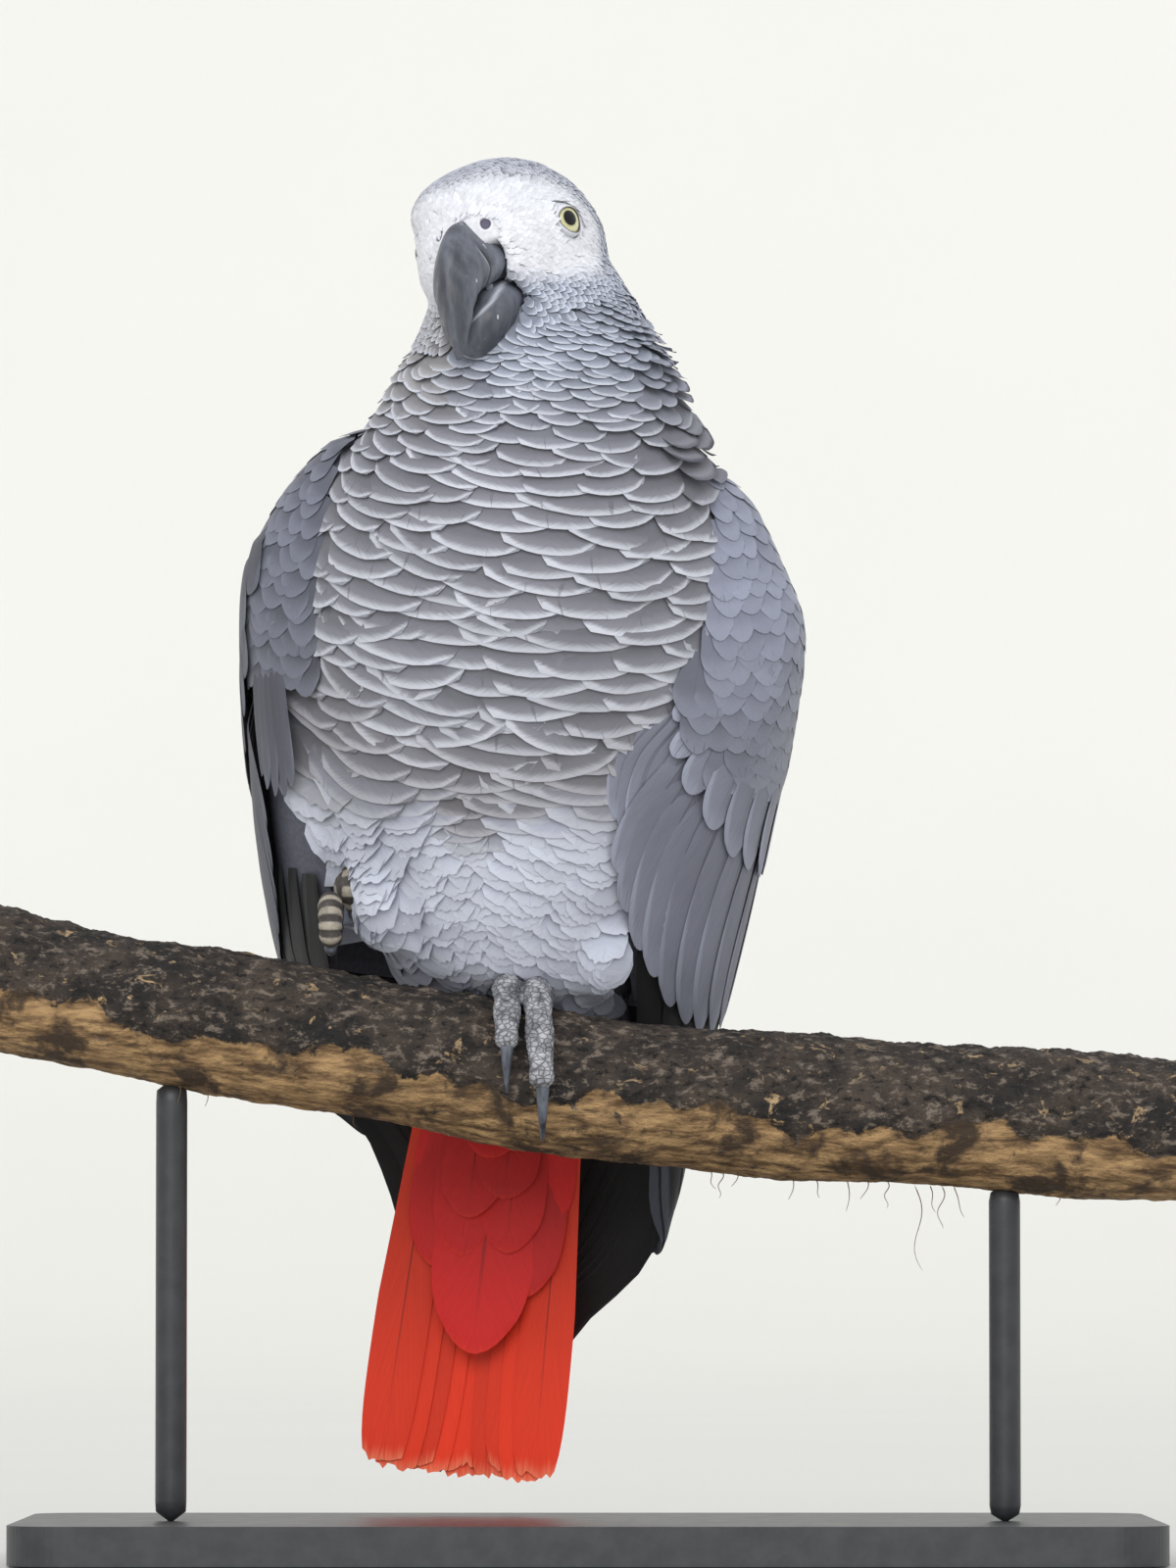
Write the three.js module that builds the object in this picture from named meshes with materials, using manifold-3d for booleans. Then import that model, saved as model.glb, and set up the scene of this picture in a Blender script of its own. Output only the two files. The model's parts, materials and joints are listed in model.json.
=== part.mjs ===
// A grey parrot, life size, standing on one foot on a short cut branch that a plain display stand carries.
// Millimetres, +Z up, the bird faces -Y. The origin is the middle of the stand base's underside.
import * as THREE from "three";
import { mergeVertices } from "three/addons/utils/BufferGeometryUtils.js";
import Module from "manifold-3d";

const wasm = await Module();
wasm.setup();

// ---------- driving sizes ----------
const GAP = 0.35; // air between two nodes that touch
const SIMPLER = 0.07; // how far a fused surface may move when its needless triangles go
const DEG = Math.PI / 180;

// The bird's own frame: its middle is BIRD_AT, it turns to its right by BIRD_TURN and leans by BIRD_LEAN.
const BIRD_AT = new THREE.Vector3(-19.5, -15, 225);
const BIRD_TURN = -10 * DEG;
const BIRD_LEAN = 7 * DEG;

// The head's own frame: the point midway between the eyes, with its own turn, tilt and nod.
const HEAD_AT = new THREE.Vector3(-23.7, -42, 334.2);
const HEAD_TURN = -22 * DEG;
const HEAD_TILT = -11 * DEG;
const HEAD_NOD = -7 * DEG;

// Torso and neck, from the tail root up: [level, x, y, half width, half depth].
const TRUNK = [
  [-112, 0, 58, 25, 8],
  [-99, 1, 51, 27, 13],
  [-89, 5, 40, 28, 21],
  [-81, 7, 30, 30, 29],
  [-71, 4, 24, 36.5, 36],
  [-54, 2.5, 19, 45.5, 43],
  [-30, 0.3, 13, 52.5, 48],
  [-5, 0.5, 6, 56, 51],
  [20, 1.5, -2, 56.5, 50],
  [40, 1, -8, 52, 46],
  [60, 2, -13, 42.5, 40],
  [75, 1.2, -16, 35.5, 35],
  [86, 0.8, -18, 30.2, 30],
  [97, -2.2, -19, 25.2, 25],
  [106, -4.8, -19, 20.8, 20],
];
const TAIL_CUT = -104; // where the tail root leaves the torso
const NECK_CUT = 60; // where the neck leaves the torso

// The surface that the folded wings lie on: [level, y, half width, half depth].
const WING_SHEET = [
  [-215, 82, 25, 4.5],
  [-180, 77, 31, 6.5],
  [-150, 71.5, 42.5, 9],
  [-120, 63, 49, 16],
  [-100, 53, 51.5, 26],
  [-80, 40, 57, 35],
  [-57, 26.5, 62, 43.5],
  [-31, 16.5, 66, 49.5],
  [-7, 9, 69, 51.5],
  [18, 3, 70, 51],
  [32, -1, 66, 49],
  [44, -4, 60, 45],
  [54, -7, 52.5, 40],
  [61, -9, 42, 34],
];
// How far the wing's front edge lies sunk into that surface, beside the breast: [level, depth].
const WING_TUCK = [
  [-100, 0],
  [-55, 0.5],
  [-20, 3],
  [5, 7],
  [30, 8],
  [60, 4],
];
const WING_TOP = 60;
const WING_END = -78;

// Angles round the body from the front, at which each wing starts and ends: [level, degrees].
const WING_FRONT = {
  left: [
    [-215, 148], [-165, 137], [-141, 94], [-120, 78], [-90, 50], [-50, 36],
    [-20, 33], [-2, 43], [22, 54], [45, 62], [61, 74],
  ],
  right: [
    [-215, 148], [-152, 145], [-120, 124], [-105, 88], [-90, 54], [-54, 43],
    [10, 46], [32, 51], [45, 58], [61, 72],
  ],
};
const WING_BACK = [
  [-215, 177], [-120, 174], [-60, 171], [-40, 169],
  [-10, 162], [18, 149], [40, 131], [61, 108],
];
const TUCK_SPREAD = 34; // degrees behind the front edge over which the tuck runs out
const RIGHT_LIFT = 24; // the right wing's secondaries end this much higher

// Each tier: its roots, middles and tips, each as the first, halfway and last feather's [level, share].
// The share runs from 0 at the wing's front edge to 1 at its back edge.
// Lift is the height over the surface at the root and from a third of the way on, tilt is in degrees.
const WING_TIERS = {
  primaries: {
    count: 6, width: 12.5, lift: [-3.6, -2.8], tilt: 9,
    root: [[-60, 0.3], [-58, 0.62], [-56, 0.9]],
    mid: [[-124, 0.22], [-120, 0.52], [-114, 0.85]],
    tip: [[-204, 0.42], [-194, 0.72], [-164, 0.9]],
  },
  secondaries: {
    count: 7, width: 15.5, lift: [-3.8, -0.6], tilt: 7, lifted: true,
    root: [[-56, 0.2], [-50, 0.55], [-44, 0.9]],
    mid: [[-96, 0.2], [-86, 0.54], [-70, 0.9]],
    tip: [[-141, 0.12], [-132, 0.52], [-92, 0.93]],
  },
  greater_coverts: {
    count: 9, width: 15, lift: [-4, 0.7], tilt: 6,
    root: [[-14, 0.3], [-16, 0.57], [-14, 0.93]],
    mid: [[-28, 0.2], [-44, 0.49], [-34, 0.92]],
    tip: [[-48, 0.08], [-82, 0.38], [-58, 0.9]],
  },
  median_coverts: {
    count: 7, width: 17, lift: [-2, 1.7], tilt: 6,
    root: [[16, 0.24], [6, 0.54], [12, 0.92]],
    mid: [[6, 0.19], [-18, 0.5], [-2, 0.92]],
    tip: [[-6, 0.14], [-46, 0.46], [-20, 0.9]],
  },
};
const WING_VANE = { thick: 0.62, columns: 2, rows: 3, round: 0.965 }; // round: where a tip's corners end
// The folded arm: depth of its inner and outer faces, low on the wing and high on it.
const ARM_INNER = [-4.4, -13];
const ARM_OUTER = [-1.6, 0.9];

// Tail: twelve quills on a slope, with the under and upper coverts over their roots.
const TAIL_QUILLS = 12;
const TAIL_TOP = -98;
const TAIL_TIP = -205;
const TAIL_Y = [60, 71]; // depth at the top and at the tip
const TAIL_HALF = [17, 20.5]; // from the middle to the outermost shaft, at the top and at the tip
const TAIL_DRIFT = -1.6; // the tail swings this far to the bird's right by its tip
const QUILL_WIDTH = 14.5;
const QUILL_STEP = 0.9; // each pair lies this much under the pair inside it
const QUILL_THICK = 0.6;
const QUILL_TOP_OUT = 2.4; // the middle pair lies this far behind the tail's middle surface
const COVERT_THICK = 0.64;
// Tail coverts: [sideways place, level of the tip, width], the lowest first.
const UNDER_TAIL_COVERTS = [[-13, -146, 17], [13, -150, 17], [-6, -161, 17], [8, -157, 17], [0, -173, 18]];
const UPPER_TAIL_COVERTS = [[-13, -138, 16], [13, -138, 16], [0, -148, 17]];

const EYE_RADIUS = 5.4;
const EYE_OUT = 16.9; // from the head's middle plane to the eyeball's centre
const EYE_BACK = 1.6;
const EYE_UP = 0.3;
// The lid ring's place is out and forward of the eyeball's centre.
const LID = { ring: 4.7, thick: 0.9, out: 4.1, forward: 1, turn: 0.26 };
const NOSTRIL = { radius: 1.4, out: 6.7, forward: 17.4, up: -0.7 };
const CERE_LOBE = { at: new THREE.Vector3(5, -12.4, -2.4), radii: new THREE.Vector3(5.4, 5.6, 6.2) };

// The branch: [x, height of its middle], and the stand under it.
const BRANCH_LINE = [
  [-156, 149],
  [-112, 139],
  [-75, 132.5],
  [-12, 121.7],
  [38, 115.5],
  [100, 111.5],
  [156, 108.6],
];
const BRANCH_RADIUS = 18.6;
const BRANCH_Y = -15;
const BRANCH_SIDES = 16;
const BRANCH_STEPS = 14;
const ROD_X = 106;
const ROD_RADIUS = 4;
const BASE = { width: 290, depth: 150, height: 10, corner: 14, bevel: 1.5 };

// The gripping foot's toes: sideways start and spread along the branch, reach round it, thickness.
const FOOT_X = -17;
const TOES = {
  inner_front: { from: -20.5, to: -20.5, end: 74, claw: 104, r: [3.9, 3.0], side: -1 },
  outer_front: { from: -13.5, to: -11.5, end: 96, claw: 140, r: [4.1, 3.1], side: -1 },
  inner_back: { from: -21, to: -26, end: 72, claw: 104, r: [3.7, 2.8], side: 1 },
  outer_back: { from: -13, to: -7, end: 96, claw: 132, r: [4.0, 3.0], side: 1 },
};

// The tucked foot: a loose fist under the flank, two toes curled forward and two back.
// A toe's angles run from straight up (90) through its outermost point (0) to straight down (-90).
const FIST_AT = new THREE.Vector3(-65.5, -15, 161);
const FIST_CURL = { hollow: 1.5, reach: 5.6, height: 6.6, start: 85, end: -48, claw: -96 };
const FIST_TOE_APART = 5.8;
const FIST_TOE_RADIUS = [3.3, 2.5];
const FIST_TOES = {
  inner_front: { column: 1, side: -1 },
  outer_front: { column: 0, side: -1 },
  inner_back: { column: 1, side: 1 },
  outer_back: { column: 0, side: 1 },
};
const CLAW_RADIUS = [1.9, 0.55];

// The thighs, hidden in the belly feathers.
const THIGHS = {
  left: { at: new THREE.Vector3(4, -13, 158), radii: new THREE.Vector3(11.5, 15, 15.5) },
  right: { at: new THREE.Vector3(-50, -12, 172), radii: new THREE.Vector3(11, 16, 17) },
};

// ---------- materials ----------
const finish = (color, roughness) => new THREE.MeshStandardMaterial({ color, roughness, metalness: 0 });
const GREY_FEATHER = finish(0x8d8f99, 0.8);
const PALE_FEATHER = finish(0xdcdde0, 0.8);
const WING_GREY = finish(0x6f727c, 0.75);
const RED_FEATHER = finish(0xd2201a, 0.7);
const HORN = finish(0x3a3b40, 0.45);
const SCALED_SKIN = finish(0x8b8a88, 0.7);
const IRIS = finish(0xd8d48a, 0.15);
const BARK = finish(0x4a3f36, 0.9);
const STAND_STEEL = new THREE.MeshStandardMaterial({ color: 0x2b2c2e, roughness: 0.45, metalness: 0.6 });

// ---------- small tools ----------
const mix = (a, b, t) => a + (b - a) * t;
// The value at t of the parabola through three values at 0, 0.5 and 1.
const through = ([p, q, r], t) => p * (1 - t) * (1 - 2 * t) + 4 * q * t * (1 - t) + r * t * (2 * t - 1);
const bezier = (a, b, c, t) => (1 - t) * (1 - t) * a + 2 * t * (1 - t) * b + t * t * c;

// A smooth table: rows of numbers whose first is the key, in rising order. Returns key => the other numbers.
function smoothTable(rows) {
  const slope = (i, c) => {
    const lo = Math.max(i - 1, 0);
    const hi = Math.min(i + 1, rows.length - 1);
    return (rows[hi][c] - rows[lo][c]) / (rows[hi][0] - rows[lo][0]);
  };
  return (key) => {
    let i = 0;
    while (i < rows.length - 2 && key > rows[i + 1][0]) i++;
    const span = rows[i + 1][0] - rows[i][0];
    const t = THREE.MathUtils.clamp((key - rows[i][0]) / span, 0, 1);
    const rise = 3 * t ** 2 - 2 * t ** 3;
    const leave = (t ** 3 - 2 * t ** 2 + t) * span;
    const arrive = (t ** 3 - t ** 2) * span;
    return rows[0].slice(1).map((_, k) => {
      const c = k + 1;
      return mix(rows[i][c], rows[i + 1][c], rise) + leave * slope(i, c) + arrive * slope(i + 1, c);
    });
  };
}

// Moves every vertex of a closed three.js geometry through a function.
function warp(geometry, move) {
  const place = geometry.getAttribute("position");
  const point = new THREE.Vector3();
  for (let i = 0; i < place.count; i++) {
    const moved = move(point.fromBufferAttribute(place, i).clone());
    place.setXYZ(i, moved.x, moved.y, moved.z);
  }
  return geometry;
}

// A three.js geometry as a manifold-3d solid with its faces pointing out.
function solid(geometry, matrix) {
  const bare = new THREE.BufferGeometry().setAttribute("position", geometry.getAttribute("position").clone());
  if (geometry.index) bare.setIndex(geometry.index.clone());
  if (matrix) bare.applyMatrix4(matrix);
  const merged = mergeVertices(bare, 1e-4);
  const corner = merged.index.array;
  const kept = [];
  for (let i = 0; i < corner.length; i += 3) {
    const [a, b, c] = [corner[i], corner[i + 1], corner[i + 2]];
    if (a !== b && b !== c && c !== a) kept.push(a, b, c);
  }
  const vertProperties = merged.attributes.position.array;
  const build = (corners) =>
    new wasm.Manifold(new wasm.Mesh({ numProp: 3, vertProperties, triVerts: new Uint32Array(corners) }));
  const made = build(kept);
  if (made.volume() >= 0) return made;
  for (let i = 0; i < kept.length; i += 3) [kept[i + 1], kept[i + 2]] = [kept[i + 2], kept[i + 1]];
  return build(kept);
}

const join = (solids) => wasm.Manifold.union(solids);

// Only the largest closed surface: this fills sealed hollows and drops loose scraps.
function largest(made) {
  const pieces = made.decompose();
  return pieces.reduce((best, piece) => (piece.volume() > best.volume() ? piece : best));
}

// A plate from a PlaneGeometry: at(u, v, face) gives the point.
// u and v run from 0 to 1, and face is 1 above and -1 below.
function plate(columns, rows, at) {
  const grid = new THREE.PlaneGeometry(1, 1, columns, rows);
  const uv = grid.getAttribute("uv");
  const count = uv.count;
  const points = [];
  for (const face of [1, -1])
    for (let i = 0; i < count; i++) points.push(...at(uv.getX(i), uv.getY(i), face).toArray());
  const index = [...grid.index.array];
  const below = [];
  for (let i = 0; i < index.length; i += 3)
    below.push(index[i] + count, index[i + 2] + count, index[i + 1] + count);
  const rim = [];
  const wide = columns + 1;
  for (let i = 0; i < columns; i++) rim.push(i);
  for (let j = 0; j < rows; j++) rim.push(j * wide + columns);
  for (let i = columns; i > 0; i--) rim.push(rows * wide + i);
  for (let j = rows; j > 0; j--) rim.push(j * wide);
  rim.forEach((a, k) => {
    const b = rim[(k + 1) % rim.length];
    below.push(a, b, a + count, b, b + count, a + count);
  });
  return new THREE.BufferGeometry()
    .setAttribute("position", new THREE.Float32BufferAttribute(points, 3))
    .setIndex([...index, ...below]);
}

// A tube with round ends round a centre line: at(t) gives its middle, radius(t) its half thickness.
function limb(at, radius, sides, rows) {
  const ball = new THREE.SphereGeometry(1, sides, rows);
  return warp(ball, (p) => {
    const t = 0.5 - Math.asin(THREE.MathUtils.clamp(p.y, -1, 1)) / Math.PI;
    const ahead = at(Math.min(t + 0.01, 1)).sub(at(Math.max(t - 0.01, 0))).normalize();
    const across = new THREE.Vector3(1, 0.13, 0.07).cross(ahead).normalize();
    const up = ahead.clone().cross(across);
    const ring = Math.hypot(p.x, p.z) || 1;
    const full = Math.min(1, 2.6 * Math.sqrt(Math.min(t, 1 - t))) * radius(t);
    return at(t)
      .addScaledVector(across, (p.x / ring) * full * (ring > 1e-6 ? 1 : 0))
      .addScaledVector(up, (p.z / ring) * full * (ring > 1e-6 ? 1 : 0));
  });
}

function egg(centre, radii, sides = 16, rows = 10) {
  const ball = new THREE.SphereGeometry(1, sides, rows);
  return warp(ball, (p) => p.multiply(radii).add(centre));
}

// ---------- the groups that carry the nodes ----------
const parrot = new THREE.Group();
const bird = new THREE.Group();
bird.position.copy(BIRD_AT);
bird.rotation.set(0, BIRD_LEAN, BIRD_TURN, "YZX");
const headFrame = new THREE.Group();
headFrame.position.copy(HEAD_AT);
headFrame.rotation.set(HEAD_NOD, HEAD_TILT, HEAD_TURN, "YZX");
const stand = new THREE.Group();
parrot.add(bird, headFrame, stand);
parrot.updateMatrixWorld(true);

// Hangs a solid, given in the part's frame, on a group as a named mesh.
function node(group, name, made, material) {
  const mesh = largest(made.simplify(SIMPLER)).getMesh();
  const step = mesh.numProp;
  const points = new Float32Array(mesh.numVert * 3);
  for (let i = 0; i < mesh.numVert; i++)
    points.set(mesh.vertProperties.subarray(i * step, i * step + 3), i * 3);
  const geometry = new THREE.BufferGeometry()
    .setAttribute("position", new THREE.BufferAttribute(points, 3))
    .setIndex(new THREE.BufferAttribute(new Uint32Array(mesh.triVerts), 1))
    .applyMatrix4(group.matrixWorld.clone().invert());
  geometry.computeVertexNormals();
  const shown = new THREE.Mesh(geometry, material);
  shown.name = name;
  group.add(shown);
}

const inBird = (geometry) => solid(geometry, bird.matrixWorld);
const inHead = (geometry) => solid(geometry, headFrame.matrixWorld);

// ---------- branch and stand ----------
const branchHeight = smoothTable(BRANCH_LINE);

function branch(grow = 0) {
  const rod = new THREE.CylinderGeometry(1, 1, 1, BRANCH_SIDES, BRANCH_STEPS);
  const [first, last] = [BRANCH_LINE[0][0], BRANCH_LINE.at(-1)[0]];
  return solid(
    warp(rod, (p) => {
      const x = mix(first, last, p.y + 0.5) + Math.sign(p.y) * (Math.abs(p.y) > 0.499 ? grow : 0);
      const angle = Math.atan2(p.z, p.x);
      const lump = 0.5 * Math.sin(x / 11 + 2 * angle) + 0.4 * Math.sin(x / 23 - angle);
      const r = Math.hypot(p.x, p.z) > 1e-6 ? BRANCH_RADIUS + lump + grow : 0;
      return new THREE.Vector3(x, BRANCH_Y + r * Math.cos(angle), branchHeight(x)[0] + r * Math.sin(angle));
    }),
  );
}

const branchSolid = branch();
const branchGrown = branch(GAP);

// A point round the branch: x along it, angle from its top towards the back, distance from its middle.
function roundBranch(x, angle, distance) {
  const height = branchHeight(x)[0] + distance * Math.cos(angle);
  return new THREE.Vector3(x, BRANCH_Y + distance * Math.sin(angle), height);
}

function standBase() {
  const { width, depth, height, corner, bevel } = BASE;
  const [w, d] = [width / 2 - bevel, depth / 2 - bevel];
  const outline = new THREE.Shape()
    .moveTo(-w + corner, -d)
    .lineTo(w - corner, -d)
    .absarc(w - corner, -d + corner, corner, -Math.PI / 2, 0)
    .lineTo(w, d - corner)
    .absarc(w - corner, d - corner, corner, 0, Math.PI / 2)
    .lineTo(-w + corner, d)
    .absarc(-w + corner, d - corner, corner, Math.PI / 2, Math.PI)
    .lineTo(-w, -d + corner)
    .absarc(-w + corner, -d + corner, corner, Math.PI, 1.5 * Math.PI);
  return new THREE.ExtrudeGeometry(outline, {
    depth: height - bevel,
    bevelThickness: bevel,
    bevelSize: bevel,
    bevelSegments: 1,
    curveSegments: 5,
  });
}

const baseSolid = solid(standBase()).trimByPlane([0, 0, 1], 0);

function standRod(x) {
  const foot = BASE.height + GAP;
  const length = branchHeight(x)[0] - foot;
  const rod = new THREE.CylinderGeometry(ROD_RADIUS, ROD_RADIUS, length, 16)
    .rotateX(Math.PI / 2)
    .translate(x, BRANCH_Y, foot + length / 2);
  return solid(rod).subtract(branchGrown);
}

// ---------- feet ----------
function toe({ from, to, end, r, side }, grow = 0) {
  const away = (t) => BRANCH_RADIUS + mix(r[0], r[1], t) + 1;
  const at = (t) => roundBranch(mix(from, to, t), side * mix(-6, end, t) * DEG, away(t));
  const knuckled = (t) => mix(r[0], r[1], t) * (1 + 0.07 * Math.cos(t * 6 * Math.PI)) + grow;
  return solid(limb(at, knuckled, 7, 9));
}

const horn = (at, grow) => solid(limb(at, (t) => mix(...CLAW_RADIUS, t) + grow, 5, 5));

function claw({ to, end, claw: tip, r, side }, grow = 0) {
  const away = (t) => BRANCH_RADIUS + mix(r[1] + 1, 1.5, t);
  return horn((t) => roundBranch(to, side * mix(end - 8, tip, t) * DEG, away(t)), grow);
}

// The shank, from the foot on the branch up into the thigh's feathers.
function shank(grow = 0) {
  const foot = roundBranch(FOOT_X, 0, BRANCH_RADIUS + 4.6);
  const knee = foot.clone().add(new THREE.Vector3(3, 10, 24));
  return solid(limb((t) => foot.clone().lerp(knee, t), (t) => mix(5.4, 4.2, t) + grow, 7, 5));
}

// The sole, where the four toes meet over the branch.
function sole(grow = 0) {
  const middle = roundBranch(FOOT_X, 0, BRANCH_RADIUS + 4.2);
  return solid(egg(middle, new THREE.Vector3(8, 6.5, 3.6).addScalar(grow), 10, 6));
}

const grippingFoot = (grow = 0) =>
  join([shank(grow), sole(grow), ...Object.values(TOES).map((size) => toe(size, grow))]);

// A point on the C that one toe of the fist and its claw follow.
function roundFist({ column, side }, degrees) {
  const { hollow, reach, height } = FIST_CURL;
  return new THREE.Vector3(
    FIST_AT.x + column * FIST_TOE_APART,
    FIST_AT.y + side * (hollow + reach * Math.cos(degrees * DEG)),
    FIST_AT.z + height * Math.sin(degrees * DEG));
}

function fistToe(place, grow = 0) {
  const at = (t) => roundFist(place, mix(FIST_CURL.start, FIST_CURL.end, t));
  return solid(limb(at, (t) => mix(...FIST_TOE_RADIUS, t) + grow, 7, 8));
}

const fistClaw = (place, grow = 0) =>
  horn((t) => roundFist(place, mix(FIST_CURL.end + 4, FIST_CURL.claw, t)), grow);

function fist(grow = 0) {
  const ankle = FIST_AT.clone().add(new THREE.Vector3(2.5, 0, FIST_CURL.height));
  const knee = ankle.clone().add(new THREE.Vector3(9, 3, 11));
  const shin = solid(limb((t) => ankle.clone().lerp(knee, t), () => 4.6 + grow, 7, 5));
  return join([shin, ...Object.values(FIST_TOES).map((place) => fistToe(place, grow))]);
}

// ---------- trunk: torso, neck and tail root in one shape ----------
const trunkAt = smoothTable(TRUNK);

function trunk(grow = 0) {
  const [low, high] = [TRUNK[0][0], TRUNK.at(-1)[0]];
  const barrel = new THREE.CylinderGeometry(1, 1, 1, 20, 18);
  return inBird(
    warp(barrel, (p) => {
      const level = mix(low, high, p.y + 0.5);
      const [x, y, a, b] = trunkAt(level);
      const ring = Math.hypot(p.x, p.z);
      const angle = Math.atan2(p.x, p.z);
      const full = ring > 1e-6 ? 1 : 0;
      return new THREE.Vector3(
        x + full * (a + grow) * Math.sin(angle), y - full * (b + grow) * Math.cos(angle), level);
    }),
  );
}

const birdUp = new THREE.Vector3(0, 0, 1).transformDirection(bird.matrixWorld);
const levelOffset = (level) => birdUp.dot(new THREE.Vector3(0, 0, level).applyMatrix4(bird.matrixWorld));
const above = (made, level) => made.trimByPlane(birdUp.toArray(), levelOffset(level));
const below = (made, level) => made.trimByPlane(birdUp.clone().negate().toArray(), -levelOffset(level));

const thigh = ({ at, radii }, grow = 0) => solid(egg(at, radii.clone().addScalar(grow), 12, 8));

const trunkSolid = trunk();
const trunkGrown = trunk(GAP);

// ---------- head ----------
// Along the head's length, from the nape forward: [forward, middle height, half width, half height].
const SKULL = [
  [-35, -7, 3, 5],
  [-33.6, -7, 9, 12],
  [-29, -5, 16.5, 19.5],
  [-20, -2.8, 22.2, 23.2],
  [-10, -2, 23.3, 23.3],
  [0, -3.5, 21.2, 22],
  [7, -5.5, 18, 19.5],
  [12.5, -7, 14, 16.5],
  [16, -8, 10.5, 12.5],
  [18.5, -7, 6.5, 9.5],
];
const skullAt = smoothTable(SKULL);

// In the head's frame x is the bird's left, y is backward and z is up.
function skull(grow = 0) {
  const [back, front] = [SKULL[0][0], SKULL.at(-1)[0]];
  const barrel = new THREE.CylinderGeometry(1, 1, 1, 22, 16);
  return inHead(
    warp(barrel, (p) => {
      const forward = mix(back, front, p.y + 0.5);
      const [mid, half, tall] = skullAt(forward);
      const angle = Math.atan2(p.x, p.z);
      const full = Math.hypot(p.x, p.z) > 1e-6 ? 1 : 0;
      return new THREE.Vector3(
        full * (half + grow) * Math.sin(angle), -forward, mid + full * (tall + grow) * Math.cos(angle));
    }),
  );
}

// The upper bill follows the hooked ridge and the cutting edge below it, both as curves of [forward, height].
const curve = (points) => new THREE.SplineCurve(points.map(([f, u]) => new THREE.Vector2(f, u)));
const RIDGE = curve([
  [9, 2.2], [17, 2.2], [24.5, -0.8], [29.6, -7.5], [31.6, -16], [31.4, -26], [29.8, -35.4],
]);
const CUTTING_EDGE = curve([
  [9, -14], [13, -15], [18, -17], [22.4, -19.5], [24.6, -23], [26.4, -29], [29, -34.8],
]);
const BILL_HALF = [7.8, 7.8, 7.4, 6.5, 5.1, 3.1, 0.7];

function upperBill(grow = 0) {
  const barrel = new THREE.CylinderGeometry(1, 1, 1, 12, 9);
  const half = smoothTable(BILL_HALF.map((w, i) => [i / (BILL_HALF.length - 1), w]));
  return inHead(
    warp(barrel, (p) => {
      const t = p.y + 0.5;
      const [top, edge] = [RIDGE.getPoint(t), CUTTING_EDGE.getPoint(t)];
      const middle = top.clone().add(edge).multiplyScalar(0.5);
      const reach = top.clone().sub(middle);
      const long = reach.length() + grow;
      reach.normalize().multiplyScalar(long);
      const angle = Math.atan2(p.x, p.z);
      const full = Math.hypot(p.x, p.z) > 1e-6 ? 1 : 0;
      const side = full * (half(t)[0] + grow) * Math.sin(angle) * (1 - 0.38 * Math.cos(angle));
      const along = full * Math.cos(angle);
      return new THREE.Vector3(side, -(middle.x + reach.x * along), middle.y + reach.y * along);
    }),
  );
}

// The lower bill, from the chin forward: [forward, middle height, half width, half height].
const LOWER_BILL = [
  [5, -19, 9, 6.8],
  [10.5, -21.6, 9.8, 9],
  [16, -24, 9.4, 9.2],
  [20.5, -26, 7.6, 7.2],
  [23.4, -26.6, 4.8, 4.6],
];
function lowerBill(grow = 0) {
  const sizes = smoothTable(LOWER_BILL);
  const barrel = new THREE.CylinderGeometry(1, 1, 1, 12, 6);
  return inHead(
    warp(barrel, (p) => {
      const forward = mix(LOWER_BILL[0][0], LOWER_BILL.at(-1)[0] + grow, p.y + 0.5);
      const [mid, half, tall] = sizes(forward);
      const angle = Math.atan2(p.x, p.z);
      const full = Math.hypot(p.x, p.z) > 1e-6 ? 1 : 0;
      const side = full * (half + grow) * Math.sin(angle) * (1 + 0.32 * Math.cos(angle));
      return new THREE.Vector3(side, -forward, mid + full * (tall + grow) * Math.cos(angle));
    }),
  );
}

function eyeball(side, grow = 0) {
  const ball = new THREE.SphereGeometry(EYE_RADIUS + grow, 12, 8).rotateZ((-side * Math.PI) / 2);
  return inHead(ball.translate(side * EYE_OUT, EYE_BACK, EYE_UP));
}

function eyeLid(side) {
  const ring = new THREE.TorusGeometry(LID.ring, LID.thick, 5, 14).rotateY(Math.PI / 2);
  return inHead(ring.rotateZ(-side * LID.turn).translate(side * (EYE_OUT + LID.out), EYE_BACK - LID.forward, EYE_UP));
}

function nostril(side) {
  const pit = new THREE.SphereGeometry(NOSTRIL.radius, 7, 5).scale(1, 1.6, 1.15);
  return inHead(pit.translate(side * NOSTRIL.out, -NOSTRIL.forward, NOSTRIL.up));
}

const cereLobe = (side) =>
  inHead(egg(CERE_LOBE.at.clone().multiply(new THREE.Vector3(side, 1, 1)), CERE_LOBE.radii, 10, 7));

// ---------- wings ----------
const sheetAt = smoothTable(WING_SHEET);
const tuckAt = smoothTable(WING_TUCK);
const backAt = smoothTable(WING_BACK);
const frontAt = { 1: smoothTable(WING_FRONT.left), [-1]: smoothTable(WING_FRONT.right) };

// A point of the wing surface: level, angle from the front in degrees, distance out from the surface.
function onSheet(side, level, degrees, out) {
  const [y, a, b] = sheetAt(level);
  const angle = degrees * DEG;
  const front = frontAt[side](level)[0];
  const sunk = tuckAt(level)[0] * (1 - THREE.MathUtils.smoothstep(degrees, front, front + TUCK_SPREAD));
  const [across, deep] = [Math.sin(angle), -Math.cos(angle)];
  const outward = new THREE.Vector2(across / a, deep / b).normalize().multiplyScalar(out - sunk);
  return new THREE.Vector3(side * (a * across + outward.x), y + b * deep + outward.y, level);
}

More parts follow.
